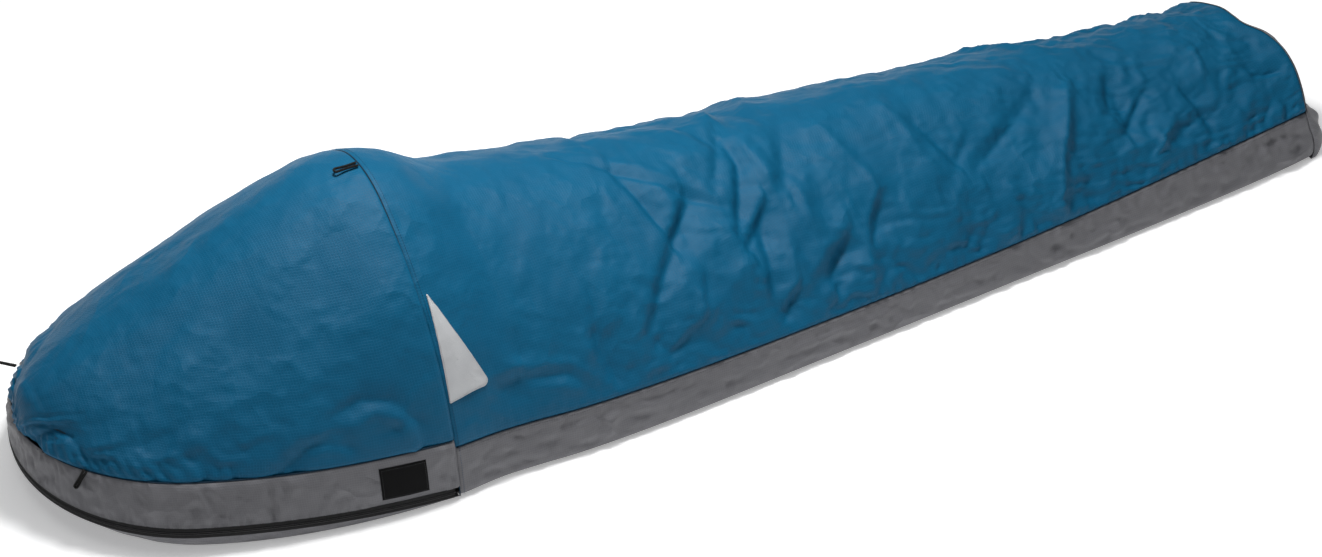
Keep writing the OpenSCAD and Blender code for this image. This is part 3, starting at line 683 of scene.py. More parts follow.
# Folds on the near side: path of (d, u) points, half width, height (negative is a valley)
FOLDS = [
    ([(.31, .05), (.395, -.07), (.47, -.19), (.525, -.27)], .007, -.0045),
    ([(.32, .08), (.41, -.045), (.485, -.165), (.54, -.25)], .010, .0025),
    ([(.39, -.07), (.43, -.35)], .011, -.008),
    ([(.43, -.35), (.48, -.23)], .010, -.006),
    ([(.44, -.14), (.452, -.27)], .018, .006),
    ([(.48, -.23), (.39, -.48), (.345, -.64), (.37, -.74)], .016, -.010),
    ([(.37, -.74), (.44, -.64)], .010, -.006),
    ([(.43, -.42), (.44, -.62), (.39, -.71)], .017, .007),
    ([(.60, .09), (.57, -.06), (.53, -.21)], .013, -.007),
    ([(.59, -.01), (.59, -.13), (.54, -.38), (.545, -.45)], .013, -.011),
    ([(.545, -.45), (.60, -.31)], .011, -.007),
    ([(.61, -.05), (.617, -.28)], .021, .008),
    ([(.60, -.31), (.58, -.40), (.56, -.64), (.57, -.75)], .015, -.010),
    ([(.57, -.75), (.605, -.64)], .010, -.006),
    ([(.605, -.45), (.60, -.62)], .018, .007),
    ([(.61, -.64), (.67, -.51)], .015, .004),
    ([(.265, -.53), (.26, -.61), (.27, -.73), (.283, -.80)], .015, -.008),
    ([(.085, -.67), (.12, -.64), (.21, -.67), (.26, -.79)], .011, .0035),
    ([(.095, -.71), (.13, -.68), (.20, -.70), (.24, -.80)], .013, -.005),
    ([(.07, -.77), (.108, -.83)], .007, .003),
    ([(.716, -.50), (.66, -.65)], .015, -.009),
    ([(.73, -.56), (.72, -.78)], .012, .006),
    ([(.78, -.42), (.745, -.57)], .013, -.008),
    ([(.695, .02), (.635, -.27)], .018, -.006),
    ([(.65, -.25), (.655, -.44)], .016, .006),
    ([(.745, -.12), (.777, -.37), (.74, -.48)], .016, .006),
    ([(.85, -.02), (.88, -.38)], .016, .005),
    ([(.89, -.15), (.93, -.37)], .012, -.006),
    ([(.93, -.37), (.965, -.27)], .012, -.005),
    ([(1.12, -.13), (1.06, -.25), (.96, -.41)], .022, -.009),
    ([(1.165, -.15), (1.095, -.49), (1.07, -.66), (1.07, -.73)], .014, .011),
    ([(1.18, -.20), (1.16, -.45)], .030, .004),
    ([(1.25, -.13), (1.22, -.33)], .013, -.008),
    ([(1.25, -.19), (1.235, -.44)], .012, -.006),
    ([(1.235, -.44), (1.305, -.24)], .012, -.006),
    ([(1.41, -.14), (1.40, -.28)], .010, .006),
    ([(1.355, -.27), (1.375, -.46), (1.39, -.65)], .011, -.007),
    ([(1.32, -.43), (1.255, -.62)], .014, .006),
    ([(1.485, -.29), (1.49, -.38), (1.55, -.44)], .010, -.005),
    ([(.90, -.62), (.93, -.80)], .012, -.005),
    ([(1.00, -.55), (.99, -.80)], .012, .004),
]


def fold_relief(d, u):
    """Height of the folds over the whole torso. The far side gets shifted mirror images."""
    height = 0
    for path, width, depth in FOLDS:
        height = height + fold(d, u, path, width * 1.35, depth * 1.5, 0.55 if depth < 0 else -0.4)
    for n, (path, width, depth) in enumerate(FOLDS[2:]):
        shift = 0.06 * math.sin(2.1 * n)
        far = [(p[0] * 0.97 + shift, -p[1] + 0.05 * math.cos(1.7 * n)) for p in path]
        height = height + fold(d, u, far, width * 1.3, depth * 0.9, 0.3)
    return height


def slack_map(d, u):
    """Share of extra cloth: most over the hips and the shins, least near the hoop and on the ridge."""
    hips = ease(d, 0.24, 0.42) * (1 - ease(d, 0.78, 0.95))
    shins = ease(d, 0.93, 1.06) * (1 - 0.5 * ease(d, 1.40, 1.52))
    flank = 0.35 + 0.65 * ease(np.abs(u + 0.02), 0.02, 0.22)
    return (0.12 + 0.88 * np.maximum(hips, shins)) * flank


def make_torso():
    gather_pitch, gather_reach = 0.019, 0.028
    rows = stations(BODY_LEN, 0.0045)
    width = float(band_u(0.0)) * HALF_LEN
    cols = stations(2 * width, 0.0048) / width - 1
    d, t = np.meshgrid(rows, cols, indexing="ij")
    edge_u = band_u(d)
    u = t * edge_u
    arc = u * MEAN_HALF_LEN
    seam = (1 - np.abs(t)) * edge_u * MEAN_HALF_LEN
    ends = np.minimum(d, BODY_LEN - d)
    rim = np.minimum(ends, seam)
    inside = ease(rim, 0.0, 0.05)
    height = fold_relief(d, u) * inside
    # short gathers where the panel is sewn to the gray band
    taken_in = 0.35 + 0.65 * ease(d, 0.55, 0.75) * (0.6 + 0.4 * np.sin(9 * d + 1.3))
    pleat = np.sin(2 * np.pi * (d / gather_pitch + 0.45 * waves(d, arc, 5, 8, 0.10, 0.4)))
    height = height + (0.0016 * pleat * taken_in * np.exp(-(seam / gather_reach) ** 2)
                       * ease(seam, 0.0, 0.006))
    height = height + (0.0012 * waves(d, arc, 11, 14, 0.05, 0.22) - 0.002) * inside
    # crumpled facets: most on the lower flank, the hips and the foot end, least near the hood
    low_flank = ease(np.abs(u), 0.38, 0.75)
    rough = ease(d, 0.05, 0.45) * (0.35 + 0.65 * low_flank) + 0.35 * ease(d, 0.9, 1.3)
    rough = (rough + 0.10) * ease(rim, 0.0, 0.02)
    height = height + rough * (0.16 * creases(d, arc, 12, 9, 0.06, 0.15)
                               + 0.24 * creases(d, arc, 13, 10, 0.022, 0.05))
    height = height - seam_dip(seam) - seam_dip(ends)
    grid = torso(d, u)
    obj = grid_object("torso_cloth", raised(grid, height), flip=True)
    # held at its rim, loosely everywhere else, and flat under the patch
    hold = np.where(rim < 0.012, 1.0, 0.9 * (1 - ease(rim, 0.012, 0.05)))
    hold = np.where((d < 0.10) & (u < -0.36), 1.0, np.maximum(hold, 0.06))
    cloth_settle(obj, hold.ravel(), slack_map(d, u).ravel())
    thicken(obj, inside=LINING)
    dress(obj, BLUE, "sack", ["torso_panel"])


def raised(grid, height):
    """A grid of points moved out by a height, away from the sack's middle line."""
    n = normals_of(grid)
    away = grid - [0, 0, 0.12]
    away[..., 0] = 0
    sign = 1.0 if float((n * away).sum(-1).mean()) > 0 else -1.0
    return grid + n * sign * np.asarray(height)[..., None]


def make_side_band(name, side, node):
    roll, gather_pitch, gather_reach = 0.010, 0.023, 0.022
    v = np.concatenate([[0, 0.03, 0.07, 0.12], np.linspace(0.18, 0.88, 14), [0.93, 0.97, 1.0]])
    d, v = np.meshgrid(stations(BODY_LEN, 0.006), v, indexing="ij")
    low = arch_u(0.0016 / smooth(d, TORSO_RIBS, 2))
    u = low + (band_u(d) - low) * v
    height_above = v * band_z(d)
    # the lower edge rolls in under the sack
    rolled = np.clip(1 - (1 - height_above / roll) ** 2, 0, 1)
    turn_in = np.where(height_above < roll, roll * (1 - np.sqrt(rolled)), 0)
    ends = np.minimum(d, BODY_LEN - d)
    seam = (1 - v) * band_z(d)
    inside = ease(ends, 0, 0.03) * ease(seam, 0, 0.02) * ease(height_above, 0, 0.02)
    worn = 1 + ease(d, BODY_LEN - 0.22, BODY_LEN - 0.03)
    out = 0.0013 * worn * waves(d, height_above * 2.2 + 0.35 * d, 21 + side, 14, 0.04, 0.19) * inside
    crease = creases(d, height_above + 0.2 * d, 24 + side, 12, 0.016, 0.07, spread=1.0)
    out = out + 0.28 * worn * crease * inside
    gather = np.sin(2 * np.pi * (d / gather_pitch + 0.4 * waves(d, d * 0, 31 + side, 6, 0.1, 0.4)))
    out = out + 0.0010 * gather * np.exp(-(seam / gather_reach) ** 2) * ease(seam, 0, 0.006)
    out = out - seam_dip(seam) - seam_dip(ends) - 0.6 * turn_in
    grid = torso(d, side * u, out)
    grid[..., 1] -= side * 0.4 * turn_in
    obj = grid_object(name, grid, flip=side < 0)
    thicken(obj, inside=LINING)
    dress(obj, GRAY, "sack", [node])


def foot_bulge(r, height, y):
    """How far the foot panel stands out behind its seam, at a share r of the way to its edge."""
    edge = np.sqrt(np.clip(1 - r ** 7, 0, 1))
    upper = 0.012 * ease(height, 0.145, 0.185) * (1 - ease(y, -0.06, 0.0))
    corner = ease(np.abs(y), 0.05, 0.14)
    lower = (1 - ease(height, 0.050, 0.085)) * (0.009 + 0.026 * corner)
    return edge * (0.0004 + upper + lower)


def make_foot():
    seam_z, loop_z = BAND_H[2], 0.060
    rings = np.concatenate([np.linspace(0.0, 0.8, 26)[1:], np.linspace(0.82, 0.985, 16), [0.993, 1.0]])
    around = np.linspace(-1, 1, 121)
    base = np.linspace(1, -1, 62)[1:-1]
    edge = torso(np.full(around.shape, BODY_LEN), around)
    floor = np.stack([edge[0, 0] + 0 * base, base * edge[-1, 1], 0 * base], -1)
    loop = np.concatenate([edge, floor])
    centre = np.array([loop[0, 0], 0, 0.088])
    r = rings[:, None]
    grid = centre + (loop[None] - centre) * r[..., None]
    y, z = grid[..., 1], grid[..., 2]
    wrinkle = (0.0016 * waves(y, z, 41, 16, 0.03, 0.13)
               + 0.30 * creases(y, z, 42, 12, 0.02, 0.07, spread=1.2))
    wrinkle = wrinkle * ease(1 - r, 0, 0.12)
    # the cloth lies flat behind the cord loop, which swings up and down against it
    by_loop = np.exp(-(y / 0.020) ** 4 - ((z - loop_z) / 0.042) ** 4)
    grid[..., 0] += (foot_bulge(r, z, y) + wrinkle) * (1 - by_loop) - 0.0012 * by_loop
    grid[..., 0] -= seam_dip((1 - r) * 0.18, depth=0.003) * 0.6
    grid[..., 2] += np.clip(0.0012 - z, 0, 1)
    ring_count, n = grid.shape[:2]
    points = np.concatenate([grid.reshape(-1, 3), [centre + [0.004, 0, 0]]])
    faces = [(i * n + j, (i + 1) * n + j, (i + 1) * n + (j + 1) % n, i * n + (j + 1) % n)
             for i in range(ring_count - 1) for j in range(n)]
    faces += [(len(points) - 1, j, (j + 1) % n) for j in range(n)]
    obj = mesh_object("foot_cloth", points, faces, points[:, 1:])
    shade_smooth(obj)
    if obj.data.polygons[0].normal.x < 0:
        obj.data.flip_normals()
    thicken(obj, inside=LINING)
    dress(obj, GRAY, "sack", ["foot_band", "foot_end_panel"])
    # a stitched seam across, on the mean of the nearest points
    ys = np.linspace(-0.165, 0.165, 90)
    apart = np.hypot(points[:, 1] - ys[:, None], points[:, 2] - seam_z)
    nearest = np.argsort(apart, axis=1)[:, :8]
    share = 1 / (np.take_along_axis(apart, nearest, 1) + 0.0005) ** 2
    x = (points[nearest][..., 0] * share).sum(1) / share.sum(1)
    line = np.stack([x + 0.0006, ys, seam_z + 0 * ys], -1)
    stitches("foot_seam_stitches", line, (1, 0, 0), GRAY_THREAD, "sack")


TUB_START = 0.0006       # the tub wall begins this far ahead of the hoop


def tub_foot(k):
    """Foot of the tub wall, from the hoop (k = 0) to the nose (k = 1): station and half width."""
    inset = 0.006 + 0.044 * np.sin(np.pi / 2 * k) ** 4
    q = TUB_START + (HEAD_LEN - inset - TUB_START) * np.sin(k * np.pi / 2)
    return q, np.array([float(plan_w(np.array([a]), b)[0]) for a, b in zip(q, inset)])


def make_floor():
    head_q_low, head_w_low = tub_foot(np.linspace(1, 0, 80))
    body_q = np.linspace(0.0, -BODY_LEN + 0.003, 120)
    q = np.concatenate([head_q_low, body_q])
    half = np.concatenate([head_w_low, smooth(-body_q, TORSO_RIBS, 1) - 0.009])
    v = np.linspace(-1, 1, 61)
    qq, vv = np.meshgrid(q, v, indexing="ij")
    x = HOOP_X - qq
    y = vv * half[:, None]
    z = 0.0010 + 0.0012 * (1 + waves(x, y, 51, 18, 0.05, 0.3)) * ease(1 - np.abs(vv), 0, 0.1)
    z = np.clip(z, 0.0007, None)
    obj = grid_object("floor_cloth", np.stack([x, y, z], -1), weld=True)
    thicken(obj, 0.0005)
    dress(obj, FLOOR_CLOTH, "sack", ["floor_panel"])


# ---------------------------------------------------------------- head


def head_run(r, e=0.0, start=0.0):
    """Side and station for a run round the head, from r = -1 (near, at the hoop) over 0 (nose) to 1."""
    return np.where(r < 0, -1.0, 1.0), head_q(1 - np.abs(r), e, start)


def zip_point(r, out, z, start=0.009):
    """A point on the zip: out beyond its outline and z above its middle."""
    side, q = head_run(r, -out, start)
    return np.stack([HOOP_X - q, side * plan_w(q, -out), zip_z(q) + z + 0 * q], -1)


def even_run(count, out=0.0, start=0.009):
    """Values of r that divide the zip's outline into even steps."""
    r = np.linspace(-1, 1, 4001)
    reach = lengths_along(zip_point(r, out, 0.0, start))
    return np.interp(np.linspace(0, reach[-1], count), reach, r), reach[-1]


def outward_of(points, middle_x):
    """Level directions from a place on the sack's middle line out to points."""
    away = points - [middle_x, 0, 0]
    away[:, 2] = 0
    return unit(away)


# Folds on the hood, the same on both sides: path of (q, u) points, half width, height
HOOD_FOLDS = [
    ([(.545, .70), (.541, .47), (.522, .38), (.505, .44), (.492, .60)], .010, -.0050),
    ([(.538, .66), (.530, .50), (.515, .48)], .011, .0040),
    ([(.15, .15), (.30, .30), (.42, .34)], .030, .0016),
    ([(.06, .30), (.20, .48), (.34, .62)], .020, -.0012),
    ([(.175, .66), (.125, .635), (.080, .67), (.045, .76), (.044, .855)], .012, -.0045),
    ([(.150, .70), (.105, .68), (.068, .74), (.060, .83)], .012, .0030),
    ([(.270, .80), (.205, .72), (.150, .76)], .010, -.0030),
    ([(.425, .74), (.405, .60), (.380, .53)], .010, -.0030),
    ([(.360, .80), (.350, .63)], .009, -.0026),
    ([(.310, .82), (.320, .70)], .009, -.0022),
    ([(.230, .84), (.240, .72)], .008, -.0020),
]


def make_hood():
    pleat_pitch, pleat_reach = 0.026, 0.032
    k = stations(1.0, 0.0085, fine=(0.0, 0.0016, 0.0034, 0.0058, 0.009, 0.0125))
    cols = stations(2.0, 0.0125, fine=(0.0, 0.0026, 0.0056, 0.0095, 0.0145, 0.021)) - 1
    kk, t = np.meshgrid(k, cols, indexing="ij")
    q = head_q(kk)
    edge = hood_u(q, hood_seam_z(q))
    u = t * edge
    seam = (1 - np.abs(t)) * edge * HALF_LEN * (hood_h(q) - zip_z(q)) / HOOP_H
    inside = ease(np.minimum(seam, q), 0, 0.04)
    arc = u * HALF_LEN
    height = 0.0016 * waves(q, arc, 61, 10, 0.12, 0.4) * inside
    # pleats round the nose, and the long arched fold above them
    along = kk * HEAD_LEN * 1.57
    pleats = np.sin(2 * np.pi * (along / pleat_pitch + 0.45 * waves(q, seam, 62, 6, 0.08, 0.25)))
    height = height + (0.0018 * pleats * ease(q, 0.15, 0.42) * np.exp(-(seam / pleat_reach) ** 2)
                       * ease(seam, 0, 0.006))
    for side in (-1, 1):
        for path, width, depth in HOOD_FOLDS:
            height = height + fold(q, u, [(p, side * v) for p, v in path], width, depth * 1.6, -0.3)
    worn = inside * (0.05 + 0.14 * (1 - ease(seam, 0.0, 0.11)))
    height = height + worn * (creases(q, arc, 63, 8, 0.07, 0.2) + creases(q, arc, 64, 8, 0.025, 0.06))
    height = height * ease(1 - kk, 0, 0.03) - seam_dip(seam) - seam_dip(q)
    obj = grid_object("hood_cloth", raised(hood(q, u), height), weld=True)
    fix_facing(obj)
    thicken(obj, inside=LINING)
    dress(obj, BLUE, HOOD, ["hood_panel"])


def fix_facing(obj, centre=(-0.6, 0, 0.12)):
    """Turns all faces over if most look towards the sack's inside."""
    polygons = obj.data.polygons
    normals, centres = np.empty(len(polygons) * 3), np.empty(len(polygons) * 3)
    polygons.foreach_get("normal", normals)
    polygons.foreach_get("center", centres)
    if float((normals.reshape(-1, 3) * (centres.reshape(-1, 3) - centre)).sum()) < 0:
        obj.data.flip_normals()


def make_hood_band():
    gather_pitch = 0.021
    run, _ = even_run(330, start=0.0)
    v = np.concatenate([[0, 0.03, 0.07], np.linspace(0.12, 0.88, 12), [0.93, 0.97, 1.0]])
    side, q = (np.repeat(a[:, None], len(v), 1) for a in head_run(run))
    vv = np.repeat(v[None], len(run), 0)
    low = hood_u(q, zip_z(q) + ZIP_HALF)
    high = hood_u(q, hood_seam_z(q))
    tall = hood_seam_z(q) - zip_z(q) - ZIP_HALF
    seam, hem = (1 - vv) * tall, vv * tall
    grid = hood(q, side * (low + (high - low) * vv))
    grid[..., 1] = np.abs(grid[..., 1]) * side
    length = run[:, None] * 1.05 + 0 * vv
    inside = ease(np.minimum(seam, hem), 0, 0.015)
    height = 0.0012 * waves(length * 1.6, hem * 1.6 + 0.3 * length, 71, 16, 0.05, 0.22) * inside
    crease = creases(length, hem + 0.2 * length, 73, 12, 0.016, 0.07, spread=1.0)
    height = height + 0.28 * crease * inside
    wander = 0.4 * waves(length, 0 * length, 72, 6, 0.08, 0.3)
    gather = np.sin(2 * np.pi * (length / gather_pitch + wander))
    height = height + 0.0012 * gather * np.exp(-(hem / 0.02) ** 2) * ease(hem, 0, 0.004)
    height = height + (0.0009 * gather * np.exp(-(seam / 0.02) ** 2) * ease(seam, 0, 0.006)
                       * ease(q, 0.3, 0.5))
    height = height - seam_dip(seam) - seam_dip(q) + 0.0008 * np.exp(-(hem / 0.004) ** 2)
    height = height * (1 - label_share(q, side, hem))
    obj = grid_object("hood_band_cloth", raised(grid, height))
    fix_facing(obj)
    thicken(obj, inside=LINING)
    dress(obj, GRAY, HOOD, ["hood_band"])


LABEL_Q, LABEL_Z = (0.048, 0.119), (0.016, 0.066)


def label_share(q, side, above):
    """1 where the label lies on the gray band, fading out around it."""
    (start, end), top = LABEL_Q, LABEL_Z[1]
    along = ease(q, start - 0.03, start) * (1 - ease(q, end, end + 0.03))
    return (side < 0) * along * (1 - ease(above, top - ZIP_HALF, top + 0.01))


def make_label():
    hem = 0.003
    q, z = np.meshgrid(np.linspace(*LABEL_Q, 40), np.linspace(*LABEL_Z, 28), indexing="ij")
    edge = np.minimum.reduce([q - LABEL_Q[0], LABEL_Q[1] - q, z - LABEL_Z[0], LABEL_Z[1] - z])
    lift = 0.0013 - 0.0008 * np.exp(-edge / 0.0015) + 0.0004 * waves(q, z, 81, 8, 0.03, 0.08)
    obj = grid_object("label_cloth", raised(hood(q, -hood_u(q, zip_z(q) + z)), lift))
    fix_facing(obj)
    thicken(obj, 0.0005)
    dress(obj, LABEL, HOOD, ["blank_label"])
    s = np.linspace(0, 4, 161)
    qs = np.interp(s, range(5), [LABEL_Q[k] + hem * (1 - 2 * k) for k in (0, 1, 1, 0, 0)])
    zs = np.interp(s, range(5), [LABEL_Z[k] + hem * (1 - 2 * k) for k in (0, 0, 1, 1, 0)])
    line = hood(qs, -hood_u(qs, zip_z(qs) + zs))
    line[:, 1] -= 0.0016
    stitches("label_stitches", line, (0, -1, 0.15), GRAY_THREAD, HOOD,
             length=0.0022, gap=0.0012, thick=0.00024)


def make_tub_wall():
    run, _ = even_run(300, start=TUB_START)
    side, _ = head_run(run)
    q_low, w_low = tub_foot(1 - np.abs(run))
    low = np.stack([HOOP_X - q_low, side * w_low, 0 * q_low + 0.0012], -1)
    high = zip_point(run, -0.0004, -ZIP_HALF - 0.0002, start=TUB_START)
    v = np.linspace(0, 1, 14)
    tall = (high - low)[:, 2:]
    bulge = 0.11 * tall * np.sin(np.pi * v ** 0.8)
    ripple = 0.0014 * waves(run[:, None] * 1.1, v * tall, 91, 16, 0.03, 0.14) * np.sin(np.pi * v)
    grid = low[:, None] + (high - low)[:, None] * v[:, None]
    grid = grid + outward_of(high, HOOP_X - 0.25)[:, None] * (bulge + ripple)[..., None]
    obj = grid_object("tub_wall_cloth", grid)
    fix_facing(obj)
    thicken(obj, inside=LINING)
    dress(obj, GRAY, "sack", ["head_tub_wall", "tub_hem"])


def strip(name, run, section, start=0.009):
    """Closed band along the zip with a cross-section of (out, z) points."""
    rings = np.stack([zip_point(run, o, z, start) for o, z in section], 1)
    return mesh_object(name, rings, swept_faces(*rings.shape[:2]))


def teeth(name, low, high, shift=0.0):
    """One row of zip teeth between two heights, wrapped round the edge of its tape."""
    pitch, half_width = 0.0017, 0.00052
    run, length = even_run(int(2.0 / pitch) + 1)
    run, _ = even_run(int(length / pitch))
    run = run[:-1] + shift * (run[1:] - run[:-1])
    ahead = half_width * unit(np.gradient(zip_point(run, 0, 0), axis=0))[:, None]
    back, face, tip = -0.0009, 0.0004, 0.0011
    section = [(back, low), (face, low), (tip, (low * 2 + high) / 3), (tip, (low + high * 2) / 3),
               (face, high), (back, high)]
    rings = np.stack([zip_point(run, o, z) for o, z in section], 1)
    points = np.concatenate([rings - ahead, rings + ahead], 1)
    return copies_object(name, points, swept_faces(2, len(section)))


def make_zip():
    run, _ = even_run(420)
    edge = ZIP_HALF + 0.0004
    upper = [(-0.0010, 0.0010), (-0.0002, 0.0010), (0.0, 0.0018), (0.0002, 0.0050), (0.0, edge),
             (-0.0010, edge)]
    lower = [(o, -z) for o, z in upper]
    near, far = 0.0002, 0.0026      # both edges of a row of teeth, from the middle of the zip
    dress(strip("zip_upper_tape", run, upper), TAPE, HOOD, ["zip_tape_upper"])
    dress(strip("zip_lower_tape", run, lower), TAPE, "sack", ["zip_tape_lower"])
    dress(teeth("zip_upper_teeth", near, far), COIL, HOOD, ["zip_coil_upper"])
    lower_teeth = teeth("zip_lower_teeth", -far, -near, shift=0.5)
    dress(lower_teeth, COIL, "sack", ["zip_coil_lower"])
    line = zip_point(even_run(500)[0], 0.0012, ZIP_HALF + 0.0022)
    stitches("zip_upper_stitches", line, outward_of(line, HOOP_X - 0.2), GRAY_THREAD, HOOD)


def make_mesh_door():
    inset = 0.007
    kk, tt = np.meshgrid(np.linspace(0, 1, 60), np.linspace(-1, 1, 91), indexing="ij")
    q = head_q(kk, inset, 0.009)
    u = tt * hood_u(q, zip_z(q) + ZIP_HALF, inset)
    sag = 0.0020 * waves(q, u * HALF_LEN, 101, 10, 0.1, 0.3)
    sag = sag * ease(np.minimum(q, 1 - np.abs(tt)), 0, 0.1) - 0.002
    sag = np.minimum(sag, 0) * ease(1 - kk, 0, 0.05)
    obj = grid_object("mesh_cloth", raised(hood(q, u, inset), sag), weld=True)
    fix_facing(obj)
    dress(obj, NET, DOOR, ["mesh_panel"])
    run, _ = even_run(300, out=-inset, start=0.012)
    binding = [(-inset - 0.0012, 0.0006), (-inset + 0.0006, 0.0006), (-inset + 0.0006, 0.0016),
               (-inset, 0.0022), (-inset, ZIP_HALF), (-inset - 0.0012, ZIP_HALF)]
    edge = strip("mesh_edge_binding", run, binding, 0.012)
    dress(edge, WEBBING, DOOR, ["mesh_binding"])


# ---------------------------------------------------------------- details


def rounded(corners, radii, steps=9):
    """Closed outline of a polygon with round corners."""
    out = []
    n = len(corners)
    for k in range(n):
        before, at, after = (np.array(corners[(k + j) % n], float) for j in (-1, 0, 1))
        a, b = unit(before - at), unit(after - at)
        half = math.acos(float(np.clip(a @ b, -1, 1))) / 2
        reach = radii[k] / math.tan(half)
        centre = at + unit(a + b) * radii[k] / math.sin(half)
        start, end = at + a * reach - centre, at + b * reach - centre
        turn = math.atan2(start[0] * end[1] - start[1] * end[0], float(start @ end))
        for t in np.linspace(0, turn, steps):
            out.append(centre + [start[0] * math.cos(t) - start[1] * math.sin(t),
                                 start[0] * math.sin(t) + start[1] * math.cos(t)])
    return np.array(out)


def make_patch():
    """Reflective triangle on the near side: its tip up, its front edge on the hoop seam."""
    scale, margin = HALF_LEN * 0.97, 0.0022
    corners = [(0.0125, 0.405 * scale), (0.0040, 0.716 * scale), (0.0760, 0.692 * scale)]
    outline = rounded(corners, (0.0012, 0.0015, 0.0110))
    ring = np.concatenate([outline, outline[:1]])
    reach = lengths_along(ring)
    ring = resample(np.linspace(0, reach[-1], 241), reach, ring)
    centre = np.array(corners).mean(0)
    size = np.linalg.norm(ring - centre, axis=1)
    r = np.concatenate([np.linspace(0.01, 0.95, 26), [0.97, 0.985, 0.995, 1.0]])[:, None]
    flat = centre + (ring[None] - centre) * r[..., None]
    lift = 0.0012 - 0.0009 * np.exp(-(1 - r) * size / 0.0012)
    lift = lift + 0.0003 * waves(flat[..., 0], flat[..., 1], 85, 8, 0.02, 0.06)
    obj = grid_object("patch_cloth", raised(torso(flat[..., 0], -flat[..., 1] / scale), lift))
    fix_facing(obj, (0, 0, 0.12))
    thicken(obj, 0.0004)
    dress(obj, REFLECT, "sack", ["reflective_patch"])
    # sewn down along its edge
    inner = centre + (ring - centre) * (1 - margin / size)[:, None]
    on_torso, over_torso = (torso(inner[:, 0], -inner[:, 1] / scale, out) for out in (0.0, 0.0014))
    stitches("patch_stitches", over_torso, over_torso - on_torso, PATCH_THREAD, "sack",
             length=0.0018, gap=0.0010, thick=0.0002)


def rope(name, path, body, stands_for):
    """Three strands twisted round a path: a guy loop."""
    radius, pitch, step = 0.0019, 0.0085, 0.0006
    reach = lengths_along(path)
    s = np.linspace(0, reach[-1], int(reach[-1] / step))
    p = resample(s, reach, path)
    tangent = unit(np.gradient(p, axis=0))
    side, lift = frames_along(tangent, np.cross(tangent[0], (0.3, 0.2, 1.0)))
    strands = []
    for k in range(3):
        a = (2 * np.pi * (s / pitch + k / 3))[:, None]
        strand = p + 0.52 * radius * (np.cos(a) * side + np.sin(a) * lift)
        strands.append(tube(name, strand, radius * 0.56, sides=7))
    dress(joined(name, strands), CORD, body, [stands_for])


def loop_path(base, along, across, reach, spread, tips=0.0):
    """Points of a loop that leaves its base, runs out along one direction and comes back."""
    base, along, across = (np.asarray(v, float) for v in (base, along, across))
    straight = reach - spread
    turn = np.linspace(0, np.pi, 15)[1:-1]
    legs = np.linspace(tips, straight, 12)
    waist = 1 - 0.25 * np.sin(np.pi * legs / straight)
    out = np.concatenate([legs, straight + spread * np.sin(turn), legs[::-1]])
    wide = np.concatenate([spread * waist, spread * np.cos(turn), -spread * waist[::-1]])
    return base + along * out[:, None] + across * wide[:, None]


def make_loops():
    y = (0, 1, 0)
    apex, foot = (joint(name)["pos_m"] for name in ("top_guy_lift", "foot_guy_bend"))
    rope("apex_cord", loop_path(apex, (-1, 0, 0), y, 0.036, 0.004), "top_guy", "apex_loop")
    path = loop_path(foot, (1, 0, 0), y, 0.0255, 0.005, tips=-0.0035)
    rope("foot_cord", path, "foot_guy", "foot_loop")
    for side in ("left", "right"):
        place = joint(side + "_guy_lift")
        base, across = np.array(place["pos_m"]), np.array(place["axis"])
        along = np.mean(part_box("side_loop_" + side), axis=0) - base
        along = unit(along - (along @ across) * across)
        path = loop_path(base, along, across, 0.034, 0.0024)
        rope(side + "_cord", path, side + "_guy", "side_loop_" + side)


def make_soft_copy(name, node, voxel):
    """Sewn webbing in the place of a soft CAD solid: rounded edges and a slightly uneven face."""
    ripple = 0.0004
    mesh = frame["nodes"][node].data.copy()
    mesh.materials.clear()
    obj = placed(name, mesh)
    modify(obj, "REMESH", mode="VOXEL", voxel_size=voxel)
    modify(obj, "SMOOTH", factor=0.5, iterations=3)
    co = points_of(obj)
    push = ripple * (waves(co[:, 0] + co[:, 1], co[:, 2] - co[:, 1], 111, 12, 0.012, 0.06) - 0.5)
    set_points(obj, co + points_of(obj, "normal") * push[:, None])
    shade_smooth(obj)
    dress(obj, WEBBING, "sack", [node])


# name of the copy, its CAD node, voxel size
SOFT_COPIES = [
    ("sleeve_cloth", "pole_sleeve", 0.0018),
    ("left_pocket_cloth", "pole_pocket_left", 0.0012),
    ("right_pocket_cloth", "pole_pocket_right", 0.0012),
    ("head_strap_webbing", "pad_strap_head", 0.0011),
    ("foot_strap_webbing", "pad_strap_foot", 0.0011),
]


CAD_FINISHES = {
    POLE: ["pole_apex", "pole_upper_left", "pole_upper_right", "pole_lower_left", "pole_lower_right"],
    FERRULE: ["ferrule_upper_left", "ferrule_upper_right", "ferrule_lower_left", "ferrule_lower_right"],
    PLUG: ["pole_tip_left", "pole_tip_right"],
    ELASTIC: ["shock_cord"],
    TAPE: ["mesh_zip_tape"],
    ZINC: ["zip_end_stops", "zip_slider_front", "zip_slider_rear", "mesh_slider"],
    PULL: ["zip_pull_front", "zip_pull_rear", "mesh_pull"],
}


def finish_cad_nodes():
    for material, names in CAD_FINISHES.items():
        for name in names:
            mesh = frame["nodes"][name].data
            mesh.materials.clear()
            mesh.materials.append(material)


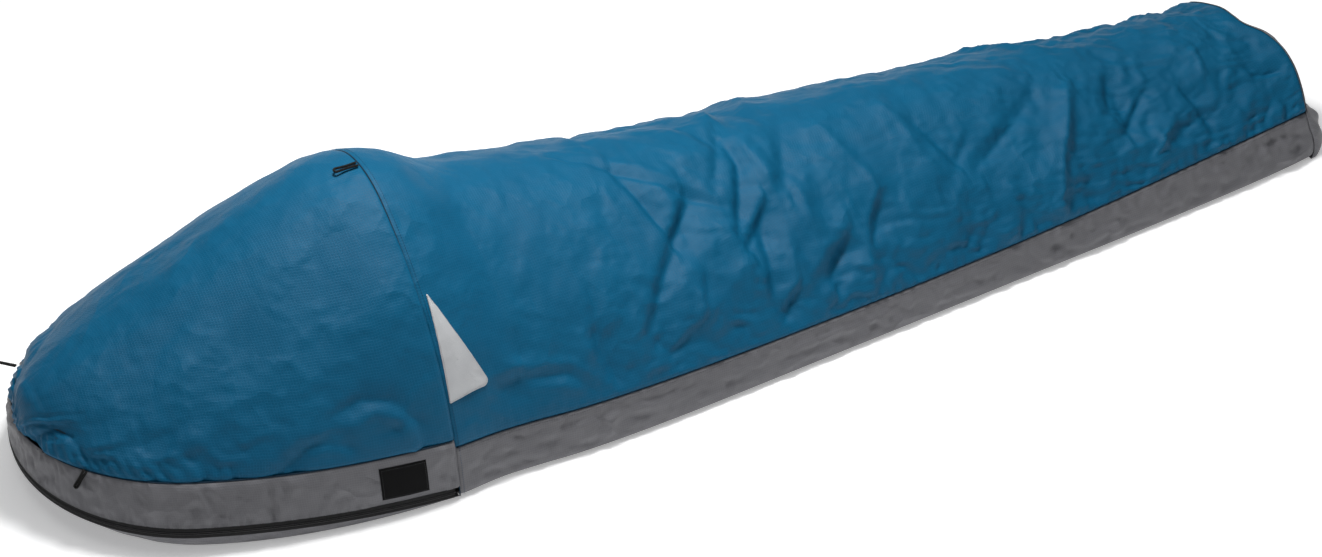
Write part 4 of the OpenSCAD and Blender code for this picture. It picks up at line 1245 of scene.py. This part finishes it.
def make_seams():
    """Thread along the colour seams and the hoop seam, and a dark tube of painted shade in the groove of
    each colour seam, the hoop seam, the hood seam and the foot seam.
    """
    # each line is a thin tube of painted shade, sunk into its seam's groove
    def line(name, path, radius, material=BLUE_SEAM_SHADE, body="sack", slot="blue_fabric"):
        dress(tube(name, path, radius, sides=6), material, body)

    d = np.linspace(0.004, BODY_LEN - 0.004, 700)
    for side, label in ((-1, "near"), (1, "far")):
        line("colour_seam_shade_" + label, torso(d, side * band_u(d), -0.0022), 0.0011)
        under, out = (torso(d, side * band_u(d, -0.0045), out) for out in (0.0, 0.01))
        out = out - under
        stitches("colour_stitches_" + label, under + out * 0.02, out, GRAY_THREAD, "sack")
    u = np.linspace(-0.995, 0.995, 400)
    beside = torso(0 * u + 0.0065, u, 0.0001)
    stitches("hoop_stitches", beside, torso(0 * u + 0.0065, u, 0.01) - beside, BLUE_THREAD, "sack")
    line("hoop_seam_shade", torso(0 * u, u, -0.0026), 0.0012)
    q = head_q(np.linspace(0.004, 1, 260))
    near = hood(q, -hood_u(q, hood_seam_z(q)), 0.0024)
    near = near[near[:, 1] < -0.0004]
    line("hood_seam_shade", np.concatenate([near, near[::-1] * (1, -1, 1)]), 0.0011, body=HOOD)
    around = np.linspace(-0.99, 0.99, 300)
    path = torso(0 * around + BODY_LEN, around, -0.0022)
    line("foot_seam_shade", path, 0.0012, GRAY_SEAM_SHADE, slot="gray_fabric")


make_torso()
make_side_band("near_band_cloth", -1, "side_band_right")
make_side_band("far_band_cloth", 1, "side_band_left")
make_foot()
make_floor()
make_hood()
make_hood_band()
make_label()
make_tub_wall()
make_zip()
make_mesh_door()
make_patch()
make_loops()
for copy in SOFT_COPIES:
    make_soft_copy(*copy)
make_seams()
finish_cad_nodes()

# ---------------------------------------------------------------- stage, light and camera


def make_stage():
    half, level = 14.0, -0.0004
    corners = [(-half, -half, level), (half, -half, level), (half, half, level), (-half, half, level)]
    ground = mesh_object("ground", corners, [(0, 1, 2, 3)])
    m = Nodes("pale floor")
    ground.data.materials.append(m.constants(
        Base_Color=(0.96, 0.96, 0.96, 1), Roughness=0.85, Specular_IOR_Level=0.1,
        Emission_Color=(1, 1, 1, 1), Emission_Strength=0.30))


def area_light(name, place, target, size, power):
    light = bpy.data.lights.new(name, "AREA")
    light.shape = "RECTANGLE"
    light.size, light.size_y = size
    light.energy = power
    obj = placed(name, light)
    obj.location = place
    obj.rotation_euler = (Vector(target) - Vector(place)).to_track_quat("-Z", "Y").to_euler()


def make_light():
    world = bpy.data.worlds.new("studio")
    bpy.context.scene.world = world
    world.use_nodes = True
    background = world.node_tree.nodes["Background"]
    background.inputs["Color"].default_value = (0.95, 0.97, 1.0, 1)
    background.inputs["Strength"].default_value = 0.15
    area_light("softbox", (0.0, 0.2, 3.2), (0.0, 0.1, 0.0), (4.0, 2.0), 36)
    area_light("key", (-0.25, 0.15, 2.1), (0.1, 0.0, 0.1), (0.5, 0.5), 37)


def make_camera():
    data = bpy.data.cameras.new("camera")
    data.lens = 119.93
    data.sensor_width = 36
    camera = placed("camera", data)
    camera.location = (HOOP_X - 2.006, -4.739, 4.082)
    camera.rotation_euler = (math.radians(52.8), 0, math.radians(-27.75))
    bpy.context.scene.camera = camera


make_stage()
make_light()
make_camera()
bpy.context.scene.view_settings.view_transform = "Standard"
